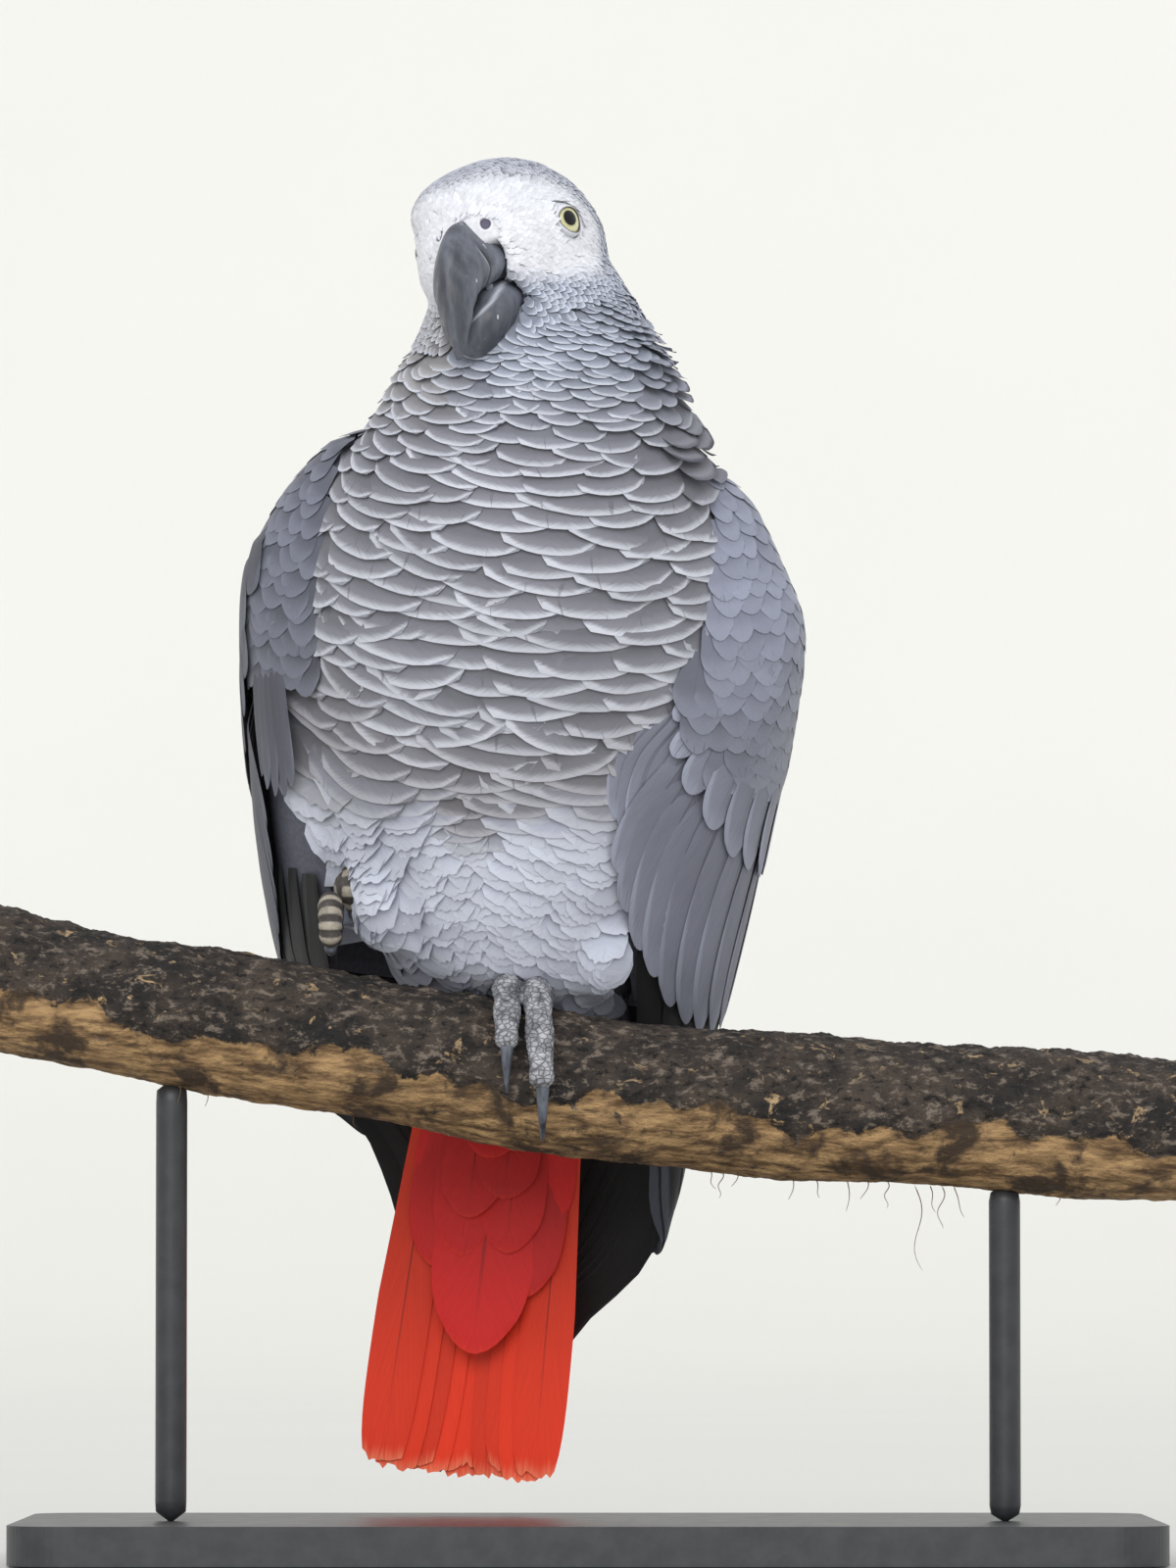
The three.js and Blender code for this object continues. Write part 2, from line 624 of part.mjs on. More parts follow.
// Millimetres of the wing surface in one degree round the body.
function sheetStep(level, degrees) {
  const [, a, b] = sheetAt(level);
  return Math.hypot(a * Math.cos(degrees * DEG), b * Math.sin(degrees * DEG)) * DEG;
}

// A vane's half width along its length: narrow at the root, full past the middle, round at the tip.
const vaneOutline = (v) => (v < 0.5 ? mix(0.62, 1, v / 0.5) : Math.sqrt(1 - 0.84 * ((v - 0.5) / 0.5) ** 3));

function wingVane(side, { root, mid, tip, width, lift, tilt }) {
  return plate(WING_VANE.columns, WING_VANE.rows, (u, v, face) => {
    const across = u * 2 - 1;
    const t = v === 1 && across !== 0 ? WING_VANE.round : v;
    const level = bezier(root[0], mid[0], tip[0], t);
    const share = bezier(root[1], mid[1], tip[1], t);
    const degrees = mix(frontAt[side](level)[0], backAt(level)[0], share);
    const half = (width / 2) * vaneOutline(v);
    const raised = mix(lift[0], lift[1], Math.min(1, t * 3)) + (face * WING_VANE.thick) / 2;
    const out = raised - across * half * Math.sin(tilt * DEG);
    return onSheet(side, level, degrees + (across * half) / sheetStep(level, degrees), out);
  });
}

// The folded arm under the coverts: a thick plate round the flank, thin at its lower end.
function wingCore(side) {
  return plate(7, 8, (u, v, face) => {
    const level = mix(WING_END, WING_TOP, v);
    const degrees = mix(frontAt[side](level)[0] + 3, backAt(level)[0], u);
    const inner = mix(...ARM_INNER, THREE.MathUtils.smoothstep(level, -70, -20));
    const outer = mix(...ARM_OUTER, THREE.MathUtils.smoothstep(level, -35, 15));
    return onSheet(side, level, degrees, face > 0 ? outer : inner);
  });
}

// The vanes of one tier.
function tierVanes(tier, side) {
  return Array.from({ length: tier.count }, (_, k) => {
    const share = k / (tier.count - 1);
    const raise = tier.lifted && side < 0 ? RIGHT_LIFT * (1 - share) : 0;
    const at = (three, part) => {
      const [level, place] = [0, 1].map((i) => through(three.map((p) => p[i]), share));
      return [level + raise * part, place];
    };
    return { ...tier, root: at(tier.root, 0), mid: at(tier.mid, 0.5), tip: at(tier.tip, 1) };
  });
}

function wing(side) {
  const sizes = Object.values(WING_TIERS).flatMap((tier) => tierVanes(tier, side));
  return join([inBird(wingCore(side)), ...sizes.map((size) => inBird(wingVane(side, size)))]);
}

// ---------- tail ----------
const tailLevel = (t) => mix(TAIL_TOP, TAIL_TIP, t);

const quillOutline = (v) => (v < 0.6 ? mix(0.55, 1, v / 0.6) : Math.sqrt(1 - 0.45 * ((v - 0.6) / 0.4) ** 4));

// Quills are counted in pairs from the middle one out; of the middle pair one lies on the other.
function quill(k) {
  const pair = Math.floor(k / 2);
  const side = k % 2 ? 1 : -1;
  const place = (pair + 0.25) / (TAIL_QUILLS / 2 - 0.75);
  const under = k === 1 ? 0 : pair + 1;
  const short = 1 - 0.008 * ((k * 5) % 4);
  return plate(2, 5, (u, v, face) => {
    const across = u * 2 - 1;
    const t = (v === 1 && across !== 0 ? 0.985 : v) * short;
    const half = (QUILL_WIDTH / 2) * quillOutline(v);
    const x = side * place * mix(...TAIL_HALF, t) + across * half + TAIL_DRIFT * t;
    const y = mix(...TAIL_Y, t) + QUILL_TOP_OUT - under * QUILL_STEP + (face * QUILL_THICK) / 2;
    return new THREE.Vector3(x, y, tailLevel(t));
  });
}

// Broad round coverts over the quills: side -1 under the tail, 1 above it.
function tailCovert(x, tip, width, face, lift) {
  return plate(2, 4, (u, v, side) => {
    const across = u * 2 - 1;
    const level = mix(TAIL_TOP + 2, tip, v === 1 && across !== 0 ? 0.955 : v);
    const t = (level - TAIL_TOP) / (TAIL_TIP - TAIL_TOP);
    const half = (width / 2) * vaneOutline(v);
    const out = mix(lift[0], lift[1], v) - 0.35 * Math.abs(across);
    return new THREE.Vector3(
      x * mix(0.9, 1, v) + across * half,
      mix(...TAIL_Y, t) + face * out + (side * COVERT_THICK) / 2,
      level);
  });
}

function tail() {
  const quills = Array.from({ length: TAIL_QUILLS }, (_, k) => inBird(quill(k)));
  const coverts = [
    ...UNDER_TAIL_COVERTS.map((size, k) => inBird(tailCovert(...size, -1, [3, 8.2 - 0.85 * k]))),
    ...UPPER_TAIL_COVERTS.map((size, k) => inBird(tailCovert(...size, 1, [3, 4.6 + 0.8 * k]))),
  ];
  return below(join([trunkSolid, ...quills, ...coverts]), TAIL_CUT - GAP / 2);
}

// ---------- assembly ----------
node(stand, "stand_base", baseSolid, STAND_STEEL);
node(stand, "stand_rod_left", standRod(-ROD_X), STAND_STEEL);
node(stand, "stand_rod_right", standRod(ROD_X), STAND_STEEL);
node(stand, "perch_branch", branchSolid, BARK);

const thighsGrown = Object.values(THIGHS).map((size) => thigh(size, GAP));
const footGrown = grippingFoot(GAP);
const fistGrown = fist(GAP);
const skullGrown = skull(GAP);

const torso = below(above(trunkSolid, TAIL_CUT + GAP / 2), NECK_CUT - GAP / 2)
  .subtract(join([...thighsGrown, footGrown, fistGrown, branchGrown]));
node(bird, "torso", torso, GREY_FEATHER);
node(bird, "neck", above(trunkSolid, NECK_CUT + GAP / 2).subtract(skullGrown), GREY_FEATHER);
node(bird, "thigh_left", thigh(THIGHS.left).subtract(join([footGrown, branchGrown])), PALE_FEATHER);
node(bird, "thigh_right", thigh(THIGHS.right).subtract(join([fistGrown, branchGrown])), PALE_FEATHER);

const clawGrown = Object.values(TOES).map((size) => claw(size, GAP));
node(bird, "foot_left", grippingFoot().subtract(join([...clawGrown, branchGrown])), SCALED_SKIN);
for (const [name, size] of Object.entries(TOES))
  node(bird, "claw_left_" + name, claw(size).subtract(branchGrown), HORN);
const fistClawGrown = Object.values(FIST_TOES).map((place) => fistClaw(place, GAP));
node(bird, "foot_right", fist().subtract(join(fistClawGrown)), SCALED_SKIN);
for (const [name, place] of Object.entries(FIST_TOES))
  node(bird, "claw_right_" + name, fistClaw(place), HORN);

const bodyGrown = join([trunkGrown, ...thighsGrown, fistGrown, ...fistClawGrown, branchGrown]);
for (const [name, side] of [["left", 1], ["right", -1]])
  node(bird, "wing_" + name, wing(side).subtract(bodyGrown), WING_GREY);
node(bird, "tail", tail().subtract(branchGrown), RED_FEATHER);

const billGrown = join([upperBill(GAP), lowerBill(GAP)]);
const head = join([skull(), eyeLid(1), eyeLid(-1), cereLobe(1), cereLobe(-1)])
  .subtract(join([billGrown, eyeball(1, GAP), eyeball(-1, GAP), nostril(1), nostril(-1)]));
node(headFrame, "head", head, PALE_FEATHER);
node(headFrame, "bill_upper", upperBill(), HORN);
node(headFrame, "bill_lower", lowerBill().subtract(join([upperBill(GAP), trunkGrown])), HORN);
node(headFrame, "eye_left", eyeball(1), IRIS);
node(headFrame, "eye_right", eyeball(-1), IRIS);

export default parrot;
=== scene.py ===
"""A grey parrot on a cut branch, dressed for rendering: skin, feathers, bill, eyes, feet, bark and stand.

Sizes are millimetres in the bird's own frame, the head's or the model's, as each section says. Everything
that reaches Blender is in metres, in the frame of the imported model. Degrees round the bird run from its
front to its left, and levels up its own frame.
"""

import json
import math

import bmesh
import bpy
import numpy as np
from mathutils import Matrix, Vector
from mathutils.bvhtree import BVHTree

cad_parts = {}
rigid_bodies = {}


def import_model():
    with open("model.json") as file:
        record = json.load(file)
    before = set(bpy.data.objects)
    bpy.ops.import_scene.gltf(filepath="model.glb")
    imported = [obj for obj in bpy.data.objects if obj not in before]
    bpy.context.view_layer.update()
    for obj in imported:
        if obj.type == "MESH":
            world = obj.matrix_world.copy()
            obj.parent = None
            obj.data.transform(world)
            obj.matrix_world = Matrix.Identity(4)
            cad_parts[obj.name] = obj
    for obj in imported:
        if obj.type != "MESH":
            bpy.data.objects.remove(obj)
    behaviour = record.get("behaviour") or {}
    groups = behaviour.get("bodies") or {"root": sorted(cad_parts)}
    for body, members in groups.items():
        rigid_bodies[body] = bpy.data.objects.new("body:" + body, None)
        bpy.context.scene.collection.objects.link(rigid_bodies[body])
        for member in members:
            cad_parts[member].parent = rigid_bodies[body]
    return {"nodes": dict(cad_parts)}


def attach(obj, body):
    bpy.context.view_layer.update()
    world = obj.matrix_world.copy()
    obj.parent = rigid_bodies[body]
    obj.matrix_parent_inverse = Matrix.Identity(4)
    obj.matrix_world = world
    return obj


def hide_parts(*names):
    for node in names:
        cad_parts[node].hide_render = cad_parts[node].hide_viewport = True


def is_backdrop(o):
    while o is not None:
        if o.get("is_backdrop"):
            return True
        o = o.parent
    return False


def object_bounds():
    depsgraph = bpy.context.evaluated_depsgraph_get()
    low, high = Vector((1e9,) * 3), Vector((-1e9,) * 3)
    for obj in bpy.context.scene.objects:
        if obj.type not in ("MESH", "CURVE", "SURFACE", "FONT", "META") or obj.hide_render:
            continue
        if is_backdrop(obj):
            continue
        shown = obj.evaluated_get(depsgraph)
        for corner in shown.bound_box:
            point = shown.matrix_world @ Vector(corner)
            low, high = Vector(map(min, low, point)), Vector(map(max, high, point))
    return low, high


bl_info = {
    "name": "Grey Parrot Display",
    "version": (1, 0, 0),
    "blender": (4, 5, 0),
    "location": "View3D > Sidebar > Parrot",
    "description": "Builds the plumage, bare parts, perch and stand of a life-size grey parrot",
    "category": "Add Mesh",
}

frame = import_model()
CAD_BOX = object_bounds()
MM = 0.001
ROOT_BODY = "root"
FLESH_NODES = ("torso", "neck", "thigh_left", "thigh_right", "head")
SIDES = {"left": 1, "right": -1}
UP = np.array([0, 0, 1.0])


# ---------- frames and curves ----------
class Frame:
    """A turned frame in millimetres. Its axes are turned about Y, then Z, then X."""

    def __init__(self, origin, about_y, about_z, about_x=0.0):
        matrix = Matrix.Identity(3)
        for degrees, axis in ((about_y, "Y"), (about_z, "Z"), (about_x, "X")):
            matrix = matrix @ Matrix.Rotation(math.radians(degrees), 3, axis)
        self.axes = np.array(matrix)
        self.origin = np.array(origin, float)

    def out(self, points):
        """Millimetres in this frame to metres in the model's frame."""
        return (np.asarray(points, float) @ self.axes.T + self.origin) * MM

    def into(self, points):
        """Metres in the model's frame to millimetres in this frame."""
        return (np.asarray(points, float) / MM - self.origin) @ self.axes

    def turn(self, directions):
        return np.asarray(directions, float) @ self.axes.T


BIRD = Frame((-19.5, -15, 225), 7, -10)
HEAD = Frame((-23.7, -42, 334.2), -11, -22, -7)  # x is the bird's left, y backward, z up
PLAIN = Frame((0, 0, 0), 0, 0)


def smooth_table(rows):
    """A smooth curve through rows whose first number is the key, as a function of one or many keys.

    It gives one number for a key where the rows hold one, and else an array of them.
    """
    rows = np.array(rows, float)
    keys, values = rows[:, 0], rows[:, 1:]
    low = np.maximum(np.arange(len(keys)) - 1, 0)
    high = np.minimum(np.arange(len(keys)) + 1, len(keys) - 1)
    slopes = (values[high] - values[low]) / (keys[high] - keys[low])[:, None]

    def at(key):
        key = np.asarray(key, float)
        i = np.clip(np.searchsorted(keys, key) - 1, 0, len(keys) - 2)
        span = (keys[i + 1] - keys[i])[..., None]
        t = np.clip((key[..., None] - keys[i][..., None]) / span, 0, 1)
        ends = mix(values[i], values[i + 1], 3 * t**2 - 2 * t**3)
        leave, arrive = t**3 - 2 * t**2 + t, t**3 - t**2
        found = ends + span * (leave * slopes[i] + arrive * slopes[i + 1])
        return found[..., 0] if values.shape[1] == 1 else found

    return at


def spline(rows):
    """A smooth curve through points at even steps, as a function of 0 to 1."""
    rows = np.array(rows, float)
    ends = np.concatenate([2 * rows[:1] - rows[1:2], rows, 2 * rows[-1:] - rows[-2:-1]])

    def at(t):
        place = np.clip(t, 0, 1) * (len(rows) - 1)
        i = np.clip(np.floor(place).astype(int), 0, len(rows) - 2)
        s = (place - i)[..., None]
        a, b, c, d = (ends[i + k] for k in range(4))
        bend = (2 * a - 5 * b + 4 * c - d) * s**2 + (3 * b - a - 3 * c + d) * s**3
        return 0.5 * (2 * b + (c - a) * s + bend)

    return at


def through(values, t):
    """The parabola through three values at 0, one half and 1."""
    p, q, r = values
    return p * (1 - t) * (1 - 2 * t) + 4 * q * t * (1 - t) + r * t * (2 * t - 1)


def bezier(a, b, c, t):
    return (1 - t) ** 2 * a + 2 * t * (1 - t) * b + t * t * c


def mix(a, b, t):
    return a + (b - a) * t


def ramp(low, high, value):
    """0 at low and before it, 1 at high and past it, smooth between. Low may be the larger of the two."""
    t = np.clip((value - low) / (high - low), 0, 1)
    return t * t * (3 - 2 * t)


def bell(value, middle, width):
    """1 at the middle, falling to nothing on both sides."""
    return np.exp(-(((value - middle) / width) ** 2))


def unit(vectors):
    return vectors / np.maximum(np.linalg.norm(vectors, axis=-1, keepdims=True), 1e-12)


def noise(points, scale, seed=0.0):
    """Smooth seeded waves from -1 to 1 at each point, from a few turned sines."""
    p = np.asarray(points) * scale
    total = 0.0
    for k, way in enumerate(((1.0, 0.7, 0.4), (-0.6, 1.1, 0.5), (0.3, -0.8, 1.2), (0.9, 0.5, -1.0))):
        total = total + np.sin(p @ np.array(way) + seed * (k + 1.7) + k)
    return total / 4


def linear(red, green, blue):
    """A colour given as 0 to 255 screen values, as linear light."""
    screen = np.array((red, green, blue), float) / 255
    return np.where(screen <= 0.04045, screen / 12.92, ((screen + 0.055) / 1.055) ** 2.4)


# ---------- body shape, in the bird's frame ----------
# Torso and neck, from the tail root up: level, x, y, half width, half depth.
TRUNK = smooth_table([
    (-112, 0, 58, 25, 8), (-99, 1, 51, 27, 13), (-89, 5, 40, 28, 21), (-81, 7, 30, 30, 29),
    (-71, 4, 24, 36.5, 36), (-54, 2.5, 19, 45.5, 43), (-30, 0.3, 13, 52.5, 48), (-5, 0.5, 6, 56, 51),
    (20, 1.5, -2, 56.5, 50), (40, 1, -8, 52, 46), (60, 2, -13, 42.5, 40), (75, 1.2, -16, 35.5, 35),
    (86, 0.8, -18, 30.2, 30), (97, -2.2, -19, 25.2, 25), (106, -4.8, -19, 20.8, 20),
])
# The surface that the folded wings lie on: level, y, half width, half depth.
WING_SHEET = smooth_table([
    (-215, 82, 25, 4.5), (-180, 77, 31, 6.5), (-150, 71.5, 42.5, 9), (-120, 63, 49, 16),
    (-100, 53, 51.5, 26), (-80, 40, 57, 35), (-57, 26.5, 62, 43.5), (-31, 16.5, 66, 49.5),
    (-7, 9, 69, 51.5), (18, 3, 70, 51), (32, -1, 66, 49), (44, -4, 60, 45), (54, -7, 52.5, 40),
    (61, -9, 42, 34),
])
# How far the wing's front edge is tucked in, by level.
WING_TUCK = smooth_table([(-100, 0), (-55, 0.5), (-20, 3), (5, 7), (30, 8), (60, 4)])
TUCK_SPREAD = 34  # degrees behind the front edge over which the tuck runs out
# Degrees round the body at which each folded wing starts, and both end, by level.
WING_FRONT = {
    1: smooth_table([
        (-215, 148), (-165, 137), (-141, 94), (-120, 78), (-90, 50), (-50, 36), (-20, 33), (-2, 43),
        (22, 54), (45, 62), (61, 74),
    ]),
    -1: smooth_table([
        (-215, 148), (-152, 145), (-120, 124), (-105, 88), (-90, 54), (-54, 43), (10, 46), (32, 51),
        (45, 58), (61, 72),
    ]),
}
WING_BACK = smooth_table([
    (-215, 177), (-120, 174), (-60, 171), (-40, 169), (-10, 162), (18, 149), (40, 131), (61, 108),
])


def trunk_point(level, degrees):
    """A point of the trunk in the bird's frame."""
    x, y, a, b = np.moveaxis(TRUNK(level), -1, 0)
    angle = np.radians(degrees)
    return np.stack([x + a * np.sin(angle), y - b * np.cos(angle), level + 0 * angle], -1)


def wing_edges(side, level):
    """Degrees round the body at which a folded wing starts and ends."""
    return WING_FRONT[side](level), WING_BACK(level)


def wing_point(side, level, degrees, out):
    """A point of a folded wing's surface in the bird's frame."""
    y, a, b = np.moveaxis(WING_SHEET(level), -1, 0)
    front = WING_FRONT[side](level)
    tuck = WING_TUCK(level) * (1 - ramp(front, front + TUCK_SPREAD, degrees))
    across, deep = np.sin(np.radians(degrees)), -np.cos(np.radians(degrees))
    normal = unit(np.stack([across / a, deep / b], -1)) * (out - tuck)[..., None]
    x = side * (a * across + normal[..., 0])
    return np.stack([x, y + b * deep + normal[..., 1], level + 0 * across], -1)


def wing_degree(level, degrees):
    """Millimetres of the wing surface in one degree round the body."""
    _, a, b = np.moveaxis(WING_SHEET(level), -1, 0)
    angle = np.radians(degrees)
    return np.radians(np.hypot(a * np.cos(angle), b * np.sin(angle)))


# ---------- meshes ----------
def link(mesh, name):
    made = bpy.data.objects.new(name, mesh)
    bpy.context.scene.collection.objects.link(made)
    return made


def mesh_object(name, points, faces):
    """A smooth mesh object at the origin, from points in metres and faces of any length."""
    mesh = bpy.data.meshes.new(name)
    mesh.from_pydata(np.asarray(points).reshape(-1, 3).tolist(), [], [list(face) for face in faces])
    mesh.validate()
    mesh.shade_smooth()
    return link(mesh, name)


def quads(index):
    """Faces between the neighbours of a grid of vertex numbers."""
    return np.stack([index[:-1, :-1], index[:-1, 1:], index[1:, 1:], index[1:, :-1]], -1).reshape(-1, 4)


def ring_grid(rows, columns, low=0.0, high=1.0):
    """Two grids, for rings of vertices along a body: the share of its length, and the angle round it."""
    turn = np.arange(columns) * 2 * math.pi / columns
    return np.meshgrid(np.linspace(low, high, rows), turn, indexing="ij")


def ring_faces(rows, columns, closed=False):
    """Faces between rings of vertices. Closed joins the last ring to the first."""
    index = np.arange(rows * columns).reshape(rows, columns)
    index = np.concatenate([index, index[:, :1]], 1)
    return quads(np.concatenate([index, index[:1]]) if closed else index)


def bar(grid):
    """Points and faces of a body closed by the middles of its first and last ring."""
    rows, columns = grid.shape[:2]
    points = np.concatenate([grid.reshape(-1, 3), grid[:1].mean(1), grid[-1:].mean(1)])
    faces = ring_faces(rows, columns).tolist()
    pole, end = rows * columns, (rows - 1) * columns
    for j in range(columns):
        k = (j + 1) % columns
        faces += [(pole, k, j), (pole + 1, end + j, end + k)]
    return points, faces


def joined(parts):
    """Points and faces of several closed bodies as one."""
    points, faces, start = [], [], 0
    for some, corners in parts:
        points.append(some)
        faces += [[k + start for k in corner] for corner in corners]
        start += len(some)
    return np.concatenate(points), faces


def two_faced(rows, columns):
    """A thin vane's grid: which vertices lie inside its rim, and the faces of both its sides."""
    index = np.arange((rows + 1) * (columns + 1)).reshape(rows + 1, columns + 1)
    inside = np.zeros(index.shape, bool)
    inside[1:-1, 1:-1] = True
    under = index.copy()
    under[inside] = np.arange(inside.sum()) + index.size
    return inside, np.concatenate([quads(index), quads(under)[:, [0, 3, 2, 1]]])


def both_faces(inside, upper, lower=None):
    """Values at a thin vane's vertices, from a grid for its upper face and one for its lower face."""
    lower = upper if lower is None else lower
    return np.concatenate([upper.reshape(-1, *upper.shape[2:]), lower[inside]])


def sharp_rim(mesh, rim):
    """Lets the upper and lower face of a thin vane each keep its own shading up to the rim they share."""
    ends = np.empty(2 * len(mesh.edges), np.int32)
    mesh.edges.foreach_get("vertices", ends)
    ends = ends.reshape(-1, 2)
    layer = mesh.attributes.new("sharp_edge", "BOOLEAN", "EDGE")
    layer.data.foreach_set("value", rim[ends[:, 0]] & rim[ends[:, 1]])


def store(mesh, name, values, colour=False):
    """Stores an attribute of the vertices: a number, a vector or a colour for each."""
    values = np.asarray(values, np.float32)
    kind, field = ("FLOAT", "value") if values.ndim == 1 else ("FLOAT_VECTOR", "vector")
    if colour:
        kind, field = "FLOAT_COLOR", "color"
        values = np.concatenate([values, np.ones((len(values), 1), np.float32)], -1)
    mesh.attributes.new(name, kind, "POINT").data.foreach_set(field, values.ravel())


def points_of(mesh):
    flat = np.zeros(len(mesh.vertices) * 3, np.float32)
    mesh.vertices.foreach_get("co", flat)
    return flat.reshape(-1, 3).astype(float)


def normals_of(mesh):
    flat = np.zeros(len(mesh.vertices) * 3, np.float32)
    mesh.vertex_normals.foreach_get("vector", flat)
    return flat.reshape(-1, 3).astype(float)


def move_points(mesh, points):
    mesh.vertices.foreach_set("co", np.asarray(points, np.float32).ravel())
    mesh.update()


def corner_uv(mesh, name, per_point):
    """A UV map from one value at each vertex."""
    corners = np.zeros(len(mesh.loops), np.int32)
    mesh.loops.foreach_get("vertex_index", corners)
    layer = mesh.uv_layers.new(name=name)
    layer.uv.foreach_set("vector", np.asarray(per_point, np.float32)[corners].ravel())


def finish_piece(piece, slot, *nodes, material=None):
    """Gives a finished piece its material and says which nodes it stands for. The slot is not used."""
    if material:
        piece.data.materials.clear()
        piece.data.materials.append(material)
    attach(piece, ROOT_BODY)
    if nodes:
        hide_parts(*nodes)


def settle(piece):
    """Applies a piece's modifiers by turning what they show into a plain mesh."""
    bpy.context.view_layer.update()
    shown = piece.evaluated_get(bpy.context.evaluated_depsgraph_get())
    mesh = bpy.data.meshes.new_from_object(shown)
    piece.modifiers.clear()
    old = piece.data
    piece.data = mesh
    mesh.name = piece.name
    bpy.data.meshes.remove(old)


def even_grid(piece, edge, factor, rounds):
    """Remeshes a piece to even faces and relaxes them. The edge is in metres."""
    remesh = piece.modifiers.new("Even grid", "REMESH")
    remesh.mode = "VOXEL"
    remesh.voxel_size = edge
    relax = piece.modifiers.new("Relax", "SMOOTH")
    relax.factor = factor
    relax.iterations = rounds
    settle(piece)
    piece.data.shade_smooth()


def face_outwards(piece):
    work = bmesh.new()
    work.from_mesh(piece.data)
    bmesh.ops.remove_doubles(work, verts=work.verts, dist=1e-7)
    bmesh.ops.recalc_face_normals(work, faces=work.faces)
    work.to_mesh(piece.data)
    work.free()
    return piece


# ---------- plumage colours ----------
def colour_of(what, red, green, blue):
    """A colour that the user may change, given as 0 to 255 screen values."""
    return bpy.props.FloatVectorProperty(
        name=what.capitalize(), description="Colour of the " + what, default=tuple(linear(red, green, blue)),
        min=0, max=1, size=3, subtype="COLOR")


class PlumageColours(bpy.types.PropertyGroup):
    """Colours of the feathers, by region."""

    white_face: colour_of("bare white face", 233, 234, 239)
    crown_grey: colour_of("crown feathers", 148, 151, 164)
    crown_edge: colour_of("fringes of the crown", 204, 207, 217)
    cheek_grey: colour_of("cheek and throat", 160, 166, 182)
    cheek_edge: colour_of("fringes of the cheek and throat", 209, 214, 225)
    throat_cream: colour_of("creamy right side of the throat", 184, 176, 166)
    breast_grey: colour_of("breast feathers", 130, 130, 139)
    breast_edge: colour_of("silvery fringes of the breast", 198, 200, 209)
    flank_brown: colour_of("brownish sides of the breast", 108, 105, 108)
    belly_pale: colour_of("soft belly feathers", 184, 188, 205)
    belly_edge: colour_of("fringes of the belly", 208, 212, 222)
    nape_grey: colour_of("nape feathers", 150, 155, 173)
    nape_edge: colour_of("fringes of the nape", 205, 210, 225)
    back_grey: colour_of("back feathers", 114, 117, 131)
    back_edge: colour_of("fringes of the back", 150, 154, 169)
    covert_grey: colour_of("wing coverts", 129, 131, 146)
    covert_edge: colour_of("fringes of the wing coverts", 152, 156, 172)
    shoulder_grey: colour_of("lesser coverts", 142, 146, 165)
    # Painted shade: both quill colours are darker than the quills' own dark grey and black, as the shade
    # they lie in low under the folded wings.
    quill_grey: colour_of("secondary quills", 34, 35, 40)
    quill_black: colour_of("primary quills", 8, 8, 10)
    ruff_tip: colour_of("dark tips of the ruffled nape", 78, 78, 90)
    rump_pale: colour_of("pale rump", 160, 164, 180)
    tail_red: colour_of("tail quills", 246, 58, 20)
    tail_edge: colour_of("worn tips of the tail quills", 255, 138, 100)
    vent_red: colour_of("dark red coverts under the tail", 216, 24, 20)


def dye(region):
    return np.array(getattr(bpy.context.scene.parrot_colours, region))


def belly_share(level, degrees):
    """How far the plumage has turned to the soft pale belly: it starts higher at the flanks."""
    start = mix(-23, -9, ramp(6, 44, np.abs(degrees)))
    return 1 - ramp(start - 18, start + 8, level)


def face_share(spot):
    """How far a point of the head, in the head's frame, lies in the white face."""
    ahead, up = -spot[..., 1], spot[..., 2]
    reach = np.hypot((ahead - 8) / 22.5, (up - 0.5) / np.where(up > 0, 14.0, 15.5))
    crown = ramp(2, 8, up)  # the edge is softer where the face meets the crown
    return 1 - ramp(mix(0.78, 0.6, crown), mix(1.1, 1.18, crown), reach)


def plumage(points):
    """Body colour, fringe colour and how strong the fringe is, at points in metres."""

    def over(under, body, edge, share, weights=(1.0, 1.0)):
        """Lays a body and a fringe colour over those of another region."""
        return mix(under, np.stack([body, edge]), (share[..., None] * np.array(weights))[..., None])

    left, back, up = np.moveaxis(HEAD.into(points), -1, 0)
    x, y, level = np.moveaxis(BIRD.into(points), -1, 0)
    degrees = np.degrees(np.arctan2(x, -(y + 12)))
    aside = np.abs(degrees)
    front = ramp(120, 70, aside)
    low = over(np.stack([dye("back_grey"), dye("back_edge")]), dye("breast_grey"), dye("breast_edge"), front)
    # The sides and the foot of the breast are brownish.
    brown = np.maximum(ramp(28, 62, aside) * ramp(30, -10, level), ramp(12, -22, level))
    brown = brown * ramp(100, 75, aside)
    low = over(low, dye("flank_brown"), dye("flank_brown") * 2.0, brown, (0.9, 0.8))
    belly = belly_share(level, degrees) * ramp(140, 100, aside)
    low = over(low, dye("belly_pale"), dye("belly_edge"), belly)
    rump = ramp(-20, -60, level) * ramp(120, 150, aside)
    low = over(low, dye("rump_pale"), dye("rump_pale"), rump, (1, 0))
    cheek = np.stack([ramp(22, 2, back), ramp(24, 2, back)], -1)[..., None]
    nape = np.stack([dye("nape_grey"), dye("nape_edge")])
    high = mix(nape, np.stack([dye("cheek_grey"), dye("cheek_edge")]), cheek)
    high = over(high, dye("crown_grey"), dye("crown_edge"), ramp(2, 13, up) * ramp(26, 12, back))
    cream = ramp(-2, -9, left) * ramp(-8, -18, up) * ramp(8, -2, back)
    high = over(high, dye("throat_cream"), dye("throat_cream"), cream, (0.6, 0))
    face = face_share(HEAD.into(points))
    high = over(high, dye("white_face"), dye("white_face"), face)
    head = ramp(62, 90, level) * ramp(-66, -30, up - 0.2 * back)
    tones = mix(low, high, head[..., None, None])
    strength = mix(mix(1.0, 0.6, belly), mix(0.8, 0.2, face), head) * mix(0.45, 1.0, front)
    return tones[..., 0, :], tones[..., 1, :], strength


